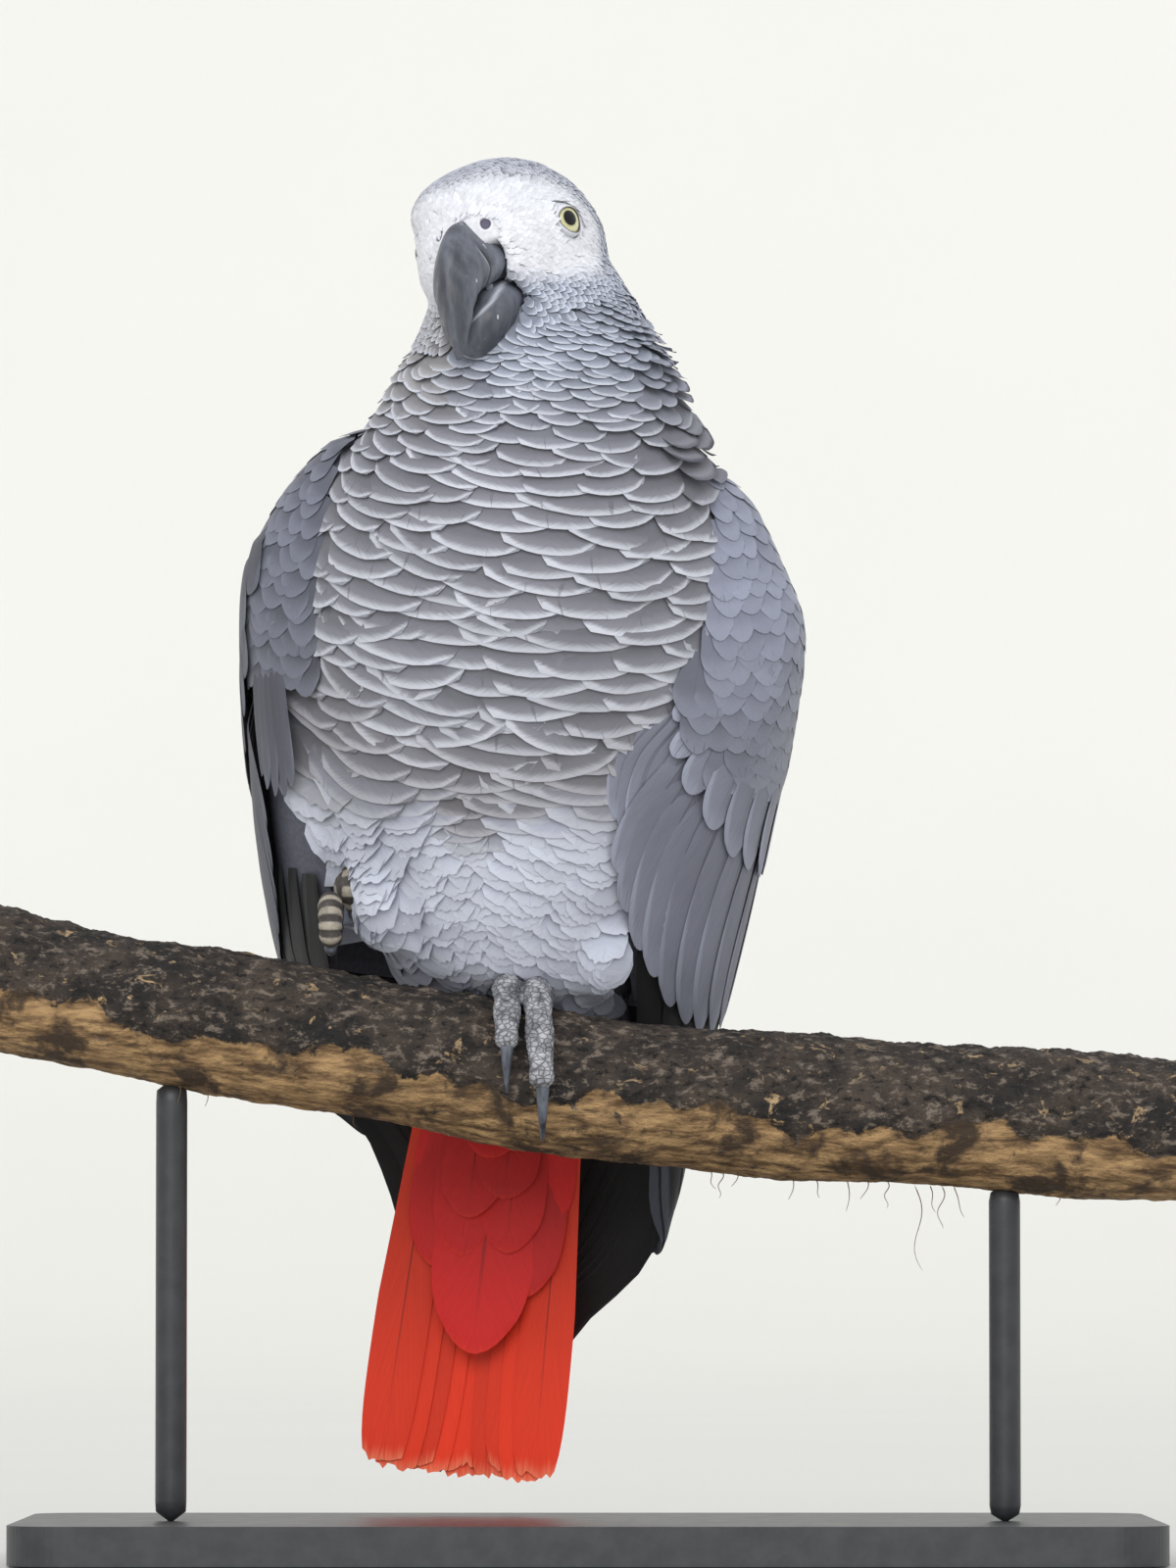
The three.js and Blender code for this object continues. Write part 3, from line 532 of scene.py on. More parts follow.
# ---------- node tools ----------
class Tree:
    """Short ways to add nodes to a tree."""

    def __init__(self, tree):
        self.nodes = tree.nodes
        self.links = tree.links

    def add(self, kind, inputs=(), **settings):
        """Adds a node and feeds its inputs, each with a plain value or another node's output."""
        made = self.nodes.new(kind if kind.startswith("GeometryNode") else "ShaderNode" + kind)
        for key, value in settings.items():
            setattr(made, key, value)
        for key, value in dict(inputs).items():
            self.feed(made.inputs[key], value)
        return made

    def feed(self, socket, value):
        if isinstance(value, bpy.types.NodeSocket):
            self.links.new(value, socket)
        elif isinstance(socket, bpy.types.NodeSocketColor):
            socket.default_value = (*value[:3], 1)
        else:
            socket.default_value = value

    def calc(self, operation, a, b=0.0, c=0.0):
        return self.add("Math", {0: a, 1: b, 2: c}, operation=operation).outputs[0]

    def plus(self, a, b):
        return self.calc("ADD", a, b)

    def minus(self, a, b):
        return self.calc("SUBTRACT", a, b)

    def times(self, a, b):
        return self.calc("MULTIPLY", a, b)

    def vector(self, x, y, z=0.0):
        return self.add("CombineXYZ", {0: x, 1: y, 2: z}).outputs[0]

    def grain(self, vector, scale, detail=2.0, rough=0.5, warp=0.0):
        inputs = {"Vector": vector, "Scale": scale, "Detail": detail, "Roughness": rough, "Distortion": warp}
        return self.add("TexNoise", inputs).outputs[0]


class Shader(Tree):
    """A material and short ways to colour it. Uniform values go on the surface's own sockets."""

    def __init__(self, name, **uniform):
        self.material = bpy.data.materials.new(name)
        self.material.use_nodes = True
        super().__init__(self.material.node_tree)
        self.surface = self.nodes["Principled BSDF"].inputs
        for key, value in uniform.items():
            self.surface[key.replace("_", " ")].default_value = value

    def smooth(self, value, low, high, to_low=0.0, to_high=1.0):
        inputs = {"Value": value, "From Min": low, "From Max": high, "To Min": to_low, "To Max": to_high}
        return self.add("MapRange", inputs, interpolation_type="SMOOTHSTEP").outputs["Result"]

    def blend(self, factor, a, b, how="MIX"):
        """Mixes two colours, each an output, an array of linear light or a tuple of screen values."""
        made = self.add("Mix", data_type="RGBA", blend_type=how)
        for key, value in ((0, factor), (6, a), (7, b)):
            self.feed(made.inputs[key], linear(*value) if isinstance(value, tuple) else value)
        return made.outputs[2]

    def fade(self, value, low, high, a, b):
        """From one colour to another as a value goes from low to high."""
        return self.blend(self.smooth(value, low, high), a, b)

    def dim(self, colour, by):
        """A colour times another, or times a grey output."""
        if isinstance(by, bpy.types.NodeSocket):
            by = self.add("CombineColor", {0: by, 1: by, 2: by}).outputs[0]
        return self.blend(1.0, colour, by, "MULTIPLY")

    def place(self, stretch=None):
        """The piece's own coordinates in metres, with lengths multiplied by the stretch."""
        spot = self.add("TexCoord").outputs["Object"]
        return self.add("Mapping", {"Vector": spot, "Scale": stretch}).outputs[0] if stretch else spot

    def attribute(self, name, output="Fac"):
        return self.add("Attribute", attribute_name=name, attribute_type="GEOMETRY").outputs[output]

    def bump(self, height, strength, distance):
        """Relief of the surface, with the distance in millimetres."""
        made = self.add("Bump", {"Height": height, "Strength": strength, "Distance": distance * MM})
        self.feed(self.surface["Normal"], made.outputs[0])

    def colour(self, value):
        self.feed(self.surface["Base Color"], value)

    def rough(self, value):
        self.feed(self.surface["Roughness"], value)


def feather_finish(
        name, fringe=(0.84, 0.985), shown=(0.5, 0.85), painted_overlap_shade=0.6, barb=0.14, shaft=0.3, tick=0.5,
        side=0.08, relief=0.1, **uniform):
    """Feather colour from the vane's own map: painted shade towards the root, pale fringe, fine barbs, thin
    shaft, small splits.

    Fringe and shown are shares of the vane's length: where the fringe fades in, and where the part that
    other feathers don't cover begins. Side is how far the fringe runs up the vane's sides, and relief
    the height of the barbs in millimetres.
    """
    made = Shader(name, **uniform)
    flat = made.add("SeparateXYZ", {0: made.add("UVMap", uv_map="vane").outputs[0]}).outputs
    across = made.calc("ABSOLUTE", made.calc("MULTIPLY_ADD", flat[0], 2.0, -1.0))
    along = flat[1]
    strength, seed, _ = made.add("SeparateXYZ", {0: made.attribute("mark", "Vector")}).outputs
    tone = made.attribute("tone", "Color")
    # Barbs leave the shaft slantwise, so their lines are drawn along a slanted coordinate.
    slant = made.minus(along, made.times(across, 0.35))
    lines = made.vector(made.times(slant, 30.0), made.times(across, 1.6), made.times(seed, 40.0))
    barbs = made.grain(lines, 1.6, 3.0, 0.65)
    uneven = made.minus(barbs, 0.5)
    edge = made.plus(along, made.times(made.smooth(across, 0.6, 1.0), side))
    edge = made.plus(edge, made.times(uneven, 0.06))
    # Painted shade: the part of the vane that other feathers cover is darkened towards the root, as their
    # shadow.
    body = made.fade(along, *shown, made.dim(tone, np.full(3, painted_overlap_shade)), tone)
    pale = made.times(made.smooth(edge, *fringe), strength)
    colour = made.blend(pale, body, made.attribute("fringe", "Color"))
    # A few barbs part at the tip and show as short dark ticks.
    gaps = made.vector(made.times(flat[0], 9.0), made.times(seed, 57.0), made.times(along, 0.8))
    split = made.times(made.smooth(made.grain(gaps, 2.4, 0.0), 0.76, 0.8), made.smooth(along, 0.75, 0.95))
    line = made.times(made.smooth(across, 0.05, 0.015), made.smooth(along, 1.0, 0.4))
    dark = made.calc("MAXIMUM", made.times(split, tick), made.times(line, shaft))
    colour = made.blend(dark, colour, made.dim(colour, np.array([0.3, 0.28, 0.28])))
    tint = made.calc("MULTIPLY_ADD", uneven, barb * 2, 1.0)
    tint = made.times(tint, made.calc("MULTIPLY_ADD", seed, 0.16, 0.92))
    made.colour(made.dim(colour, tint))
    made.bump(barbs, 0.5, relief)
    return made.material


def skin_finish():
    """The skin under the coat carries the coat's colours, darkened as painted shade between the feathers,
    with fine goose-flesh.
    """
    made = Shader("skin under the plumage", Roughness=0.7)
    fine = made.grain(made.place(), 900.0)
    made.colour(made.dim(made.attribute("tone", "Color"), made.smooth(fine, 0.3, 0.7, 0.8, 1.0)))
    made.bump(fine, 0.3, 0.4)
    return made.material


# ---------- feathers on a form ----------
BAKE_PATCH = 0.003  # size of one feather on the bake map


def vane_mesh(name, columns, rows, width, tip_round, fray=0.0, seed=3):
    """One feather 1 wide and 1 long lying along +Y, its upper and lower faces meeting at the rim."""
    across, along = np.meshgrid(np.linspace(-1, 1, columns + 1), np.linspace(0, 1, rows + 1))
    inside, faces = two_faced(rows, columns)
    ragged = np.random.default_rng(seed).uniform(-1, 1, columns + 1) * fray
    y = along * (1 - tip_round * across**2 * along**2) + ragged * along**6
    grid = np.stack([0.5 * across * width(along), y, 0 * y], -1)
    piece = mesh_object(name, both_faces(inside, grid), faces)
    store(piece.data, "across", both_faces(inside, across))
    store(piece.data, "along", both_faces(inside, along))
    store(piece.data, "side", both_faces(inside, 1.0 * inside, 0 * along - 1))
    corner_uv(piece.data, "vane", both_faces(inside, np.stack([across / 2 + 0.5, along], -1)))
    sharp_rim(piece.data, ~both_faces(inside, inside))
    piece.hide_render = True
    return piece


def broad(v):
    """The width of a body feather along its length, as a share of the widest."""
    return np.where(v < 0.6, mix(0.55, 1.0, v / 0.6), 1 - 0.14 * np.clip((v - 0.6) / 0.4, 0, 1) ** 2)


def coat_tree():
    """Sets a vane on every point, bends it over the form, and lets its tip stand off by the point's lift."""
    group = bpy.data.node_groups.new("feather coat", "GeometryNodeTree")
    group.is_modifier = True
    kinds = {
        "Geometry": "Geometry", "Vane": "Object", "Form": "Object", "Finish": "Material",
        "Root Depth": "Float", "Thickness": "Float", "Camber": "Float", "Ragged": "Float",
    }
    for name, kind in kinds.items():
        group.interface.new_socket(name, in_out="INPUT", socket_type="NodeSocket" + kind)
    group.interface.new_socket("Geometry", in_out="OUTPUT", socket_type="NodeSocketGeometry")
    given = group.nodes.new("NodeGroupInput").outputs
    result = group.nodes.new("NodeGroupOutput").inputs[0]
    tree = Tree(group)
    calc, plus, minus, times = tree.calc, tree.plus, tree.minus, tree.times

    def part(kind, inputs=(), output=0, **settings):
        return tree.add("GeometryNode" + kind, inputs, **settings).outputs[output]

    def named(name, kind="FLOAT"):
        return part("InputNamedAttribute", {"Name": name}, data_type=kind)

    def added(a, b):
        return tree.add("VectorMath", {0: a, 1: b}, operation="ADD").outputs[0]

    def scaled(vector, by):
        return tree.add("VectorMath", {0: vector, "Scale": by}, operation="SCALE").outputs[0]

    vane, form = (part("ObjectInfo", {"Object": given[name]}, "Geometry") for name in ("Vane", "Form"))
    spots = {
        "Points": given["Geometry"], "Instance": vane,
        "Rotation": named("turn", "FLOAT_VECTOR"), "Scale": named("size", "FLOAT_VECTOR"),
    }
    grown = part("RealizeInstances", {0: part("InstanceOnPoints", spots)})
    here = part("InputPosition")

    def sampled(value):
        """A value of the form at its place nearest to the vertex."""
        inputs = {"Mesh": form, "Value": value, "Sample Position": here}
        return part("SampleNearestSurface", inputs, data_type="FLOAT_VECTOR")

    ground = sampled(part("InputPosition"))
    outward = sampled(named("out", "FLOAT_VECTOR"))
    along, across, side = (named(name) for name in ("along", "across", "side"))
    sunk = times(calc("POWER", minus(1.0, along), 1.4), times(given["Root Depth"], -1.0))
    stand = times(calc("POWER", along, 2.0), plus(named("lift"), times(across, named("tilt"))))
    arch = times(minus(1.0, calc("POWER", calc("ABSOLUTE", across), 2.0)), given["Camber"])
    wall = times(side, times(given["Thickness"], 0.5))
    wave = minus(tree.grain(scaled(here, 420.0), 1.0, 1.0), 0.5)
    ragged = times(times(wave, calc("POWER", along, 3.0)), given["Ragged"])
    height = plus(plus(sunk, stand), plus(plus(arch, wall), ragged))
    bent = part("SetPosition", {"Geometry": grown, "Position": added(ground, scaled(outward, height))})
    # The bake map: each feather is a small patch at its root's place on the skin's unwrap.
    patch = tree.vector(times(across, BAKE_PATCH / 2), times(minus(along, 0.5), BAKE_PATCH))
    bake = {"Geometry": bent, "Name": "OFBake", "Value": added(named("bake", "FLOAT_VECTOR"), patch)}
    kept = part("StoreNamedAttribute", bake, data_type="FLOAT2", domain="CORNER")
    tree.feed(result, part("SetMaterial", {"Geometry": kept, "Material": given["Finish"]}))
    return group


def grow_coat(name, roots, form, vane, finish, root_depth, thickness=0.22, camber=0.25, ragged=0.3):
    """Grows one coat piece from the arrays that roots_from makes. Its four last sizes are millimetres."""
    mesh = bpy.data.meshes.new(name)
    mesh.from_pydata(roots.pop("place").tolist(), [], [])
    out, lie = unit(roots.pop("out")), roots.pop("lie")
    lie = unit(lie - out * np.sum(lie * out, -1, keepdims=True))
    across = np.cross(lie, out)
    roots["turn"] = np.stack([
        np.arctan2(lie[:, 2], out[:, 2]),
        -np.arcsin(np.clip(across[:, 2], -1, 1)),
        np.arctan2(across[:, 1], across[:, 0]),
    ], -1)
    for key, values in roots.items():
        store(mesh, key, values, colour=key in ("tone", "fringe"))
    piece = link(mesh, name)
    tree = bpy.data.node_groups.get("feather coat") or coat_tree()
    modifier = piece.modifiers.new("Feathers", "NODES")
    modifier.node_group = tree
    given = {
        "Vane": vane, "Form": form, "Finish": finish, "Root Depth": root_depth * MM,
        "Thickness": thickness * MM, "Camber": camber * MM, "Ragged": ragged * MM,
    }
    for item in tree.interface.items_tree:
        if item.in_out == "INPUT" and item.name in given:
            modifier[item.identifier] = given[item.name]
    settle(piece)
    return piece


def roots_from(place, out, lie, width, length, lift, bake, seed, tilt=0.0, vary_size=0.12):
    """The arrays that grow_coat takes, with the plumage's colours at each place."""
    count = len(place)
    random = np.random.default_rng(seed)
    tone, fringe, strength = plumage(place)
    vary = random.uniform(0.93, 1.07, (count, 1))
    size = np.stack([width, length, np.full(count, 1000.0)], -1) * MM
    size[:, :2] *= 1 + random.uniform(-vary_size, vary_size, (count, 2)) * (1, 0.3)
    lean = random.normal(0, 0.13, (count, 1)) * np.cross(out, lie)
    mark = np.stack([strength, random.uniform(0, 1, count), np.zeros(count)], -1)
    loose = np.minimum(lift, 1.2)
    return {
        "place": place, "out": out, "lie": lie + lean, "size": size,
        "lift": (lift + random.uniform(-0.3, 0.3, count) * loose) * MM,
        "tilt": (tilt + random.normal(0, 0.07, count) * loose) * MM,
        "tone": tone * vary, "fringe": fringe * vary, "mark": mark, "bake": np.pad(bake, ((0, 0), (0, 1))),
    }


def snap(form, points):
    """The nearest places on a form, with its smooth normals there."""
    tree = BVHTree.FromObject(form, bpy.context.evaluated_depsgraph_get())
    place, out = np.zeros((len(points), 3)), np.zeros((len(points), 3))
    normals = normals_of(form.data)
    corners = [tuple(face.vertices) for face in form.data.polygons]
    for i, point in enumerate(points):
        spot, _, face, _ = tree.find_nearest(Vector(point))
        place[i] = spot
        out[i] = normals[list(corners[face])].mean(0)
    return place, unit(out)


# ---------- settings ----------
class PlumageSizes(bpy.types.PropertyGroup):
    """Sizes of the coat, of the real bird."""

    skin_grid: bpy.props.FloatProperty(
        name="Skin grid", description="Edge of the skin's faces, in metres", default=0.0013, min=0.0008,
        max=0.004, unit="LENGTH")
    feather_scale: bpy.props.FloatProperty(
        name="Feather size", description="Scale of every contour feather of the trunk", default=1.0, min=0.6,
        max=1.4)
    coat_depth: bpy.props.FloatProperty(
        name="Coat depth", description="How deep the skin lies under the feather tips, in millimetres",
        default=3.0, min=1, max=6)
    seed: bpy.props.IntProperty(name="Seed", description="Seed of every random draw", default=7, min=0)


def sizes():
    return bpy.context.scene.parrot_sizes


# ---------- skin ----------
CROWN_RISE = 1.6  # how much the plumage of the crown is puffed up
CROWN_LEAN = 2.6  # and how far it leans to the bird's right
RIGHT_FULL = 2.4  # how much fuller the plumage is on that side of the forehead
HEAD_SKIN_DEPTH = 1.5  # how deep the skin lies under the feather tips on the head
FACE_SKIN_DEPTH = 0.45  # and in the white face
EYE_AT = np.array([16.9, 1.6, 0.3])  # the bird's left eyeball, in the head's frame


def flesh_form(name, extra=(), shells=()):
    """The flesh nodes, with any extra nodes and shells, joined, remeshed to an even grid and smoothed."""
    work = bmesh.new()
    for node in (*FLESH_NODES, *extra):
        work.from_mesh(frame["nodes"][node].data)
    for points, faces in shells:
        corners = [work.verts.new(point) for point in points]
        for face in faces:
            work.faces.new([corners[k] for k in face])
    bmesh.ops.remove_doubles(work, verts=work.verts, dist=1e-6)
    mesh = bpy.data.meshes.new(name)
    work.to_mesh(mesh)
    work.free()
    form = link(mesh, name)
    even_grid(form, sizes().skin_grid, 0.5, 12)
    points = points_of(form.data)
    move_points(form.data, points + crown_shift(points, normals_of(form.data)))
    return form


def crown_shift(points, out):
    """How far the crown's puffed plumage stands off the solid head, in metres."""
    spot = HEAD.into(points)
    left, _, up = spot.T
    head = ramp(80, 96, BIRD.into(points)[:, 2])[:, None]
    rise = out * CROWN_RISE * ramp(3, 14, up)[:, None]
    lean = HEAD.turn((-CROWN_LEAN, 0, 0)) * ramp(2, 15, up)[:, None]
    beside = ramp(-3, -11, left) * ramp(26, 18, up) * ramp(-18, -8, up)
    beside = beside * ramp(5, 9, np.linalg.norm(spot - EYE_AT * (-1, 1, 1), axis=-1))
    full = HEAD.turn((-1.0, 0, 0)) * (beside * mix(1.0, RIGHT_FULL, ramp(-4, 12, up)))[:, None]
    return (rise + lean + full) * head * MM


def coat_depth(points):
    """How far the skin lies under the coat's surface, in metres."""
    spot = HEAD.into(points)
    level = BIRD.into(points)[..., 2]
    head = ramp(62, 92, level) * ramp(-40, -18, spot[..., 2] - 0.2 * spot[..., 1])
    depth = mix(sizes().coat_depth, HEAD_SKIN_DEPTH, head)
    # It sinks further behind the nostrils, so that their pits stay open.
    pits = NOSTRIL_ROOM * ramp(2.4, 1.7, pit_gap(spot))
    return (mix(depth, FACE_SKIN_DEPTH, head * face_share(spot)) + pits) * MM


def bake_place(points):
    """A point's place on the unwrap of the skin: the trunk below, the head above."""
    body, spot = BIRD.into(points), HEAD.into(points)
    round_body = np.arctan2(body[..., 0], -(body[..., 1] + 12)) / (2 * math.pi) + 0.5
    low = np.stack([0.02 + 0.96 * round_body, 0.02 + 0.6 * np.clip((body[..., 2] + 115) / 200, 0, 1)], -1)
    round_head = np.arctan2(spot[..., 0], spot[..., 2] + 8) / (2 * math.pi) + 0.5
    high = np.stack([0.02 + 0.96 * round_head, 0.66 + 0.3 * np.clip((spot[..., 1] + 25) / 70, 0, 1)], -1)
    head = (body[..., 2] > 84) & (spot[..., 2] > -30)
    return np.where(head[..., None], high, low)


class PARROT_OT_skin(bpy.types.Operator):
    """One skin for head, neck, torso and thighs, and the hidden form that feathers lie on"""

    bl_idname = "parrot.skin"
    bl_label = "Skin"

    def execute(self, context):
        arms = [wing_sheet(side) for side in SIDES.values()]
        form = flesh_form("body_form", extra=("eye_left", "eye_right"), shells=arms)
        store(form.data, "out", normals_of(form.data))
        form.hide_render = True
        skin = flesh_form("skin")
        points = points_of(skin.data)
        move_points(skin.data, points - normals_of(skin.data) * coat_depth(points)[:, None])
        tone, _, _ = plumage(points)
        # Painted shade: outside the white face the skin is darkened, as the shade in the gaps between
        # feathers.
        painted_shade = mix(0.55, 1.0, face_share(HEAD.into(points)) * ramp(60, 90, BIRD.into(points)[:, 2]))
        store(skin.data, "tone", tone * painted_shade[:, None], colour=True)
        finish_piece(skin, "body_feathers", *FLESH_NODES, material=skin_finish())
        return {"FINISHED"}


# ---------- coats of the trunk ----------
# From the vent up: level, feather width, length, distance between rows, lift of the tip.
TRUNK_ROWS = smooth_table([
    (-100, 8, 12, 2.6, 0.5), (-84, 10, 15, 2.8, 0.5), (-60, 12, 18, 3.0, 0.5), (-35, 15, 20, 3.4, 0.6),
    (-20, 26, 23, 4.4, 0.8), (-10, 34, 26, 4.8, 0.9), (25, 36, 26, 4.8, 0.9), (45, 33, 23, 4.2, 0.9),
    (60, 25, 19, 3.4, 0.9), (74, 16, 13.5, 2.4, 0.8), (84, 10, 10, 1.7, 0.6), (96, 6, 7.5, 1.3, 0.4),
    (104, 4.5, 6, 1.15, 0.35),
])
NEIGHBOUR_STEP = 0.46  # from one feather of a row to the next, as a share of its width
ROW_FAN = 0.42  # how far feathers of the sides lean outward on their way down
RUFF_LIFT = 2.8  # how far the ruffled feathers of the nape stand up
CURTAIN_LIFT, CURTAIN_LENGTH = 1.4, 5  # the loose feathers that hang over the drawn-up foot


def trunk_rows(low, high, seed):
    """Staggered rows of roots round the trunk, as levels and degrees. Rows rise towards the sides."""
    random = np.random.default_rng(seed)
    level, spots, row = low, [], 0
    while level < high:
        width, _, step, _ = TRUNK_ROWS(level)
        _, _, a, b = TRUNK(level)
        around = 2 * math.pi * math.sqrt((a * a + b * b) / 2)
        count = max(6, int(around / (width * NEIGHBOUR_STEP)))
        share = (np.arange(count) + 0.5 * (row % 2)) / count + random.normal(0, 0.14 / count, count)
        degrees = share * 360 - 180
        rise = ROW_FAN * a * (1 - np.cos(np.radians(np.clip(degrees, -80, 80)))) * ramp(-90, -30, level)
        wave = 1.3 * np.sin(np.radians(degrees) * 5 + row * 0.9) + random.normal(0, 0.45, count)
        spots.append(np.stack([level + rise + wave * step / 8, degrees], -1))
        level += float(step)
        row += 1
    return np.concatenate(spots)


def under_wing(level, degrees):
    """Whether a wing hides this place of the trunk."""
    hidden = np.zeros(len(level), bool)
    for side in SIDES.values():
        front, back = wing_edges(side, level)
        reach = mix(12, 22, ramp(-20, 30, level)) + (5 * ramp(5, -15, level) if side < 0 else 0)
        at = side * degrees
        hidden |= (at > front + reach) & (at < back - 9) & (level > -78) & (level < 48)
    return hidden


def trunk_lie(level, degrees):
    """The way feathers of the trunk point: down, fanning outward over the breast."""
    angle = np.radians(degrees)
    fan = ROW_FAN * np.sin(np.clip(angle, -1.6, 1.6)) * ramp(-90, -30, level)
    way = np.stack([fan * np.cos(angle), fan * np.sin(angle), -np.ones(len(angle))], -1)
    # Low on the belly the feathers turn back towards the tail.
    way[:, 1] += ramp(-48, -100, level) * 1.1
    return BIRD.turn(way)


class PARROT_OT_trunk_coat(bpy.types.Operator):
    """Contour feathers of neck, breast and back, and the soft feathers of belly and thighs"""

    bl_idname = "parrot.trunk_coat"
    bl_label = "Trunk feathers"

    def execute(self, context):
        seed, scale = sizes().seed, sizes().feather_scale
        form = bpy.data.objects["body_form"]
        firm = feather_finish(
            "contour feathers", fringe=(0.89, 0.985), shown=(0.76, 0.9), painted_overlap_shade=0.7, shaft=0.12,
            relief=0.12, Roughness=0.72, Sheen_Weight=0.1)
        soft = feather_finish(
            "downy feathers", fringe=(0.66, 1.0), shown=(0.5, 0.92), painted_overlap_shade=0.84, barb=0.16, shaft=0.0,
            tick=0.2, relief=0.08, Roughness=0.85, Sheen_Weight=0.25)
        broad_vane = vane_mesh("broad_vane", 8, 8, broad, 0.115, fray=0.005)
        downy_vane = vane_mesh("downy_vane", 14, 5, broad, 0.19, fray=0.035)
        level, degrees = trunk_rows(-100, 104, seed).T
        keep = ~under_wing(level, degrees)
        level, degrees = level[keep], degrees[keep]
        place, out = snap(form, BIRD.out(trunk_point(level, degrees)))
        head = HEAD.into(place)
        keep = (head[:, 2] - 0.45 * head[:, 1] < -17) & (level < 103)
        level, degrees, place, out = (some[keep] for some in (level, degrees, place, out))
        width, length, _, lift = TRUNK_ROWS(level).T
        width = width * mix(1.0, 0.72, ramp(75, 110, np.abs(degrees))) * scale
        lie = trunk_lie(level, degrees)
        ruff = ramp(60, 70, level) * ramp(99, 90, level) * ramp(48, 70, degrees) * ramp(160, 120, degrees)
        ruff = ruff * np.random.default_rng(seed + 9).uniform(0.2, 1.2, len(level))
        curtain = ramp(-20, -32, degrees) * ramp(-60, -50, degrees)
        curtain = curtain * ramp(-66, -54, level) * ramp(0, -14, level)
        lift = lift + RUFF_LIFT * ruff + CURTAIN_LIFT * curtain
        length = (length + CURTAIN_LENGTH * curtain) * scale
        tilt = 0.45 * np.sign(degrees) * ramp(2, 12, np.abs(degrees))
        downy = belly_share(level, degrees) > 0.4
        front = np.abs(degrees) < 75
        for name, part, vane, finish, slot, thin in (
            ("contour_feathers", ~downy, broad_vane, firm, "body_feathers", (0.2, 0.2, 0.3)),
            ("downy_feathers", downy, downy_vane, soft, "belly_feathers", (0.15, 0.15, 0.22)),
        ):
            for half, inside in (("front", front), ("back", ~front)):
                pick = part & inside
                parts = (some[pick] for some in (place, out, lie, width, length, lift, bake_place(place)))
                roots = roots_from(*parts, seed + 1, tilt[pick], 0.2)
                roots["fringe"] = mix(roots["fringe"], dye("ruff_tip"), ruff[pick][:, None])
                piece = grow_coat(f"{name}_{half}", roots, form, vane, finish, sizes().coat_depth, *thin)
                finish_piece(piece, slot)
        for vane in (broad_vane, downy_vane):
            bpy.data.objects.remove(vane)
        return {"FINISHED"}


# ---------- coat of the head ----------
NAPE_OVERLAP = 12.0  # how far the head's feathers run on over those of the neck
BILL_ROOT = np.array([0, -20, -8])  # in the head's frame, where the feathers of the face start from
EYE_RADIUS = 5.4
LID_CLEARANCE = 2.8  # extra bare skin in front of the eye
EYE_TURN = 0.26  # how far the eyes look forward, in radians
HEAD_ROOTS = 60000  # places tried for a feather


def head_step(spot):
    """Distance between feather roots on head and throat, in millimetres, at points in the head's frame."""
    up, back = spot[..., 2], spot[..., 1]
    far = np.hypot(np.maximum(back - 2, 0), np.minimum(up + 6, 0))
    step = mix(1.4, 2.5, ramp(4, 34, far))
    step = mix(step, mix(1.5, 2.8, ramp(-4, 26, back)), ramp(4, 14, up))
    step = step + 1.3 * ramp(8, 24, back) * ramp(-6, -26, up)
    return mix(step, 1.15, face_share(spot))


def scattered(form, count, seed, step_at, allowed):
    """Roots spread over a form with an even gap between them. Step and allowed take head-frame points."""
    random = np.random.default_rng(seed)
    faces = form.data.polygons
    corners, normals = points_of(form.data), normals_of(form.data)
    fours = np.array([(*face.vertices[:3], face.vertices[-1]) for face in faces])
    middle = HEAD.into(corners[fours].mean(1))
    area = np.array([face.area for face in faces]) * allowed(middle) / np.maximum(step_at(middle), 0.5) ** 2
    picked = fours[random.choice(len(fours), count, p=area / area.sum())]
    share = random.dirichlet(np.ones(4), count)[..., None]
    place = (corners[picked] * share).sum(1)
    out = unit((normals[picked] * share).sum(1))
    step = step_at(HEAD.into(place)) * MM
    cells = np.floor(place / float(step.max())).astype(int).tolist()
    taken, kept = {}, []
    for i, (x, y, z) in enumerate(cells):
        near = [
            j for dx in (-1, 0, 1) for dy in (-1, 0, 1) for dz in (-1, 0, 1)
            for j in taken.get((x + dx, y + dy, z + dz), ())
        ]
        if near and np.min(np.linalg.norm(place[near] - place[i], axis=1) / step[near]) < 0.8:
            continue
        taken.setdefault((x, y, z), []).append(i)
        kept.append(i)
    return place[kept], out[kept], step[kept] / MM


def head_lie(spot):
    """The way head feathers point: away from the bill, and down the neck from the nape and cheeks on."""
    away = unit(spot - BILL_ROOT)
    down = HEAD.axes.T @ BIRD.turn(-UP)
    far = np.linalg.norm(spot - BILL_ROOT, axis=-1)[:, None]
    away = away * mix(1.0, 0.35, ramp(24, 52, far))
    return HEAD.turn(unit(away + down * mix(0.05, 1.0, ramp(20, 48, far))))


def eye_axis(side):
    return np.array([side * math.cos(EYE_TURN), -math.sin(EYE_TURN), 0.0])


def bare(spot):
    """Where no feather grows on the head: round the eyes, on the bill and on the nostrils."""
    eyes = np.full(spot.shape[:-1], 1e3)
    for side in SIDES.values():
        off = spot - EYE_AT * (side, 1, 1) - eye_axis(side) * 4.5
        gap = np.linalg.norm(off, axis=-1)
        # Feathers point backwards, so those in front of the eye keep further off.
        eyes = np.minimum(eyes, gap - LID_CLEARANCE * ramp(-0.3, 0.7, -off[..., 1] / np.maximum(gap, 0.1)))
    aside, ahead, up = np.abs(spot[..., 0]), -spot[..., 1], spot[..., 2]
    bill = (ahead > 12.5) & (aside < 7.6) & (up < 1.0)
    chin = (ahead > 2) & (up < -14) & (aside < 9)
    return (eyes < 5.0) | bill | chin | (ahead > 17)


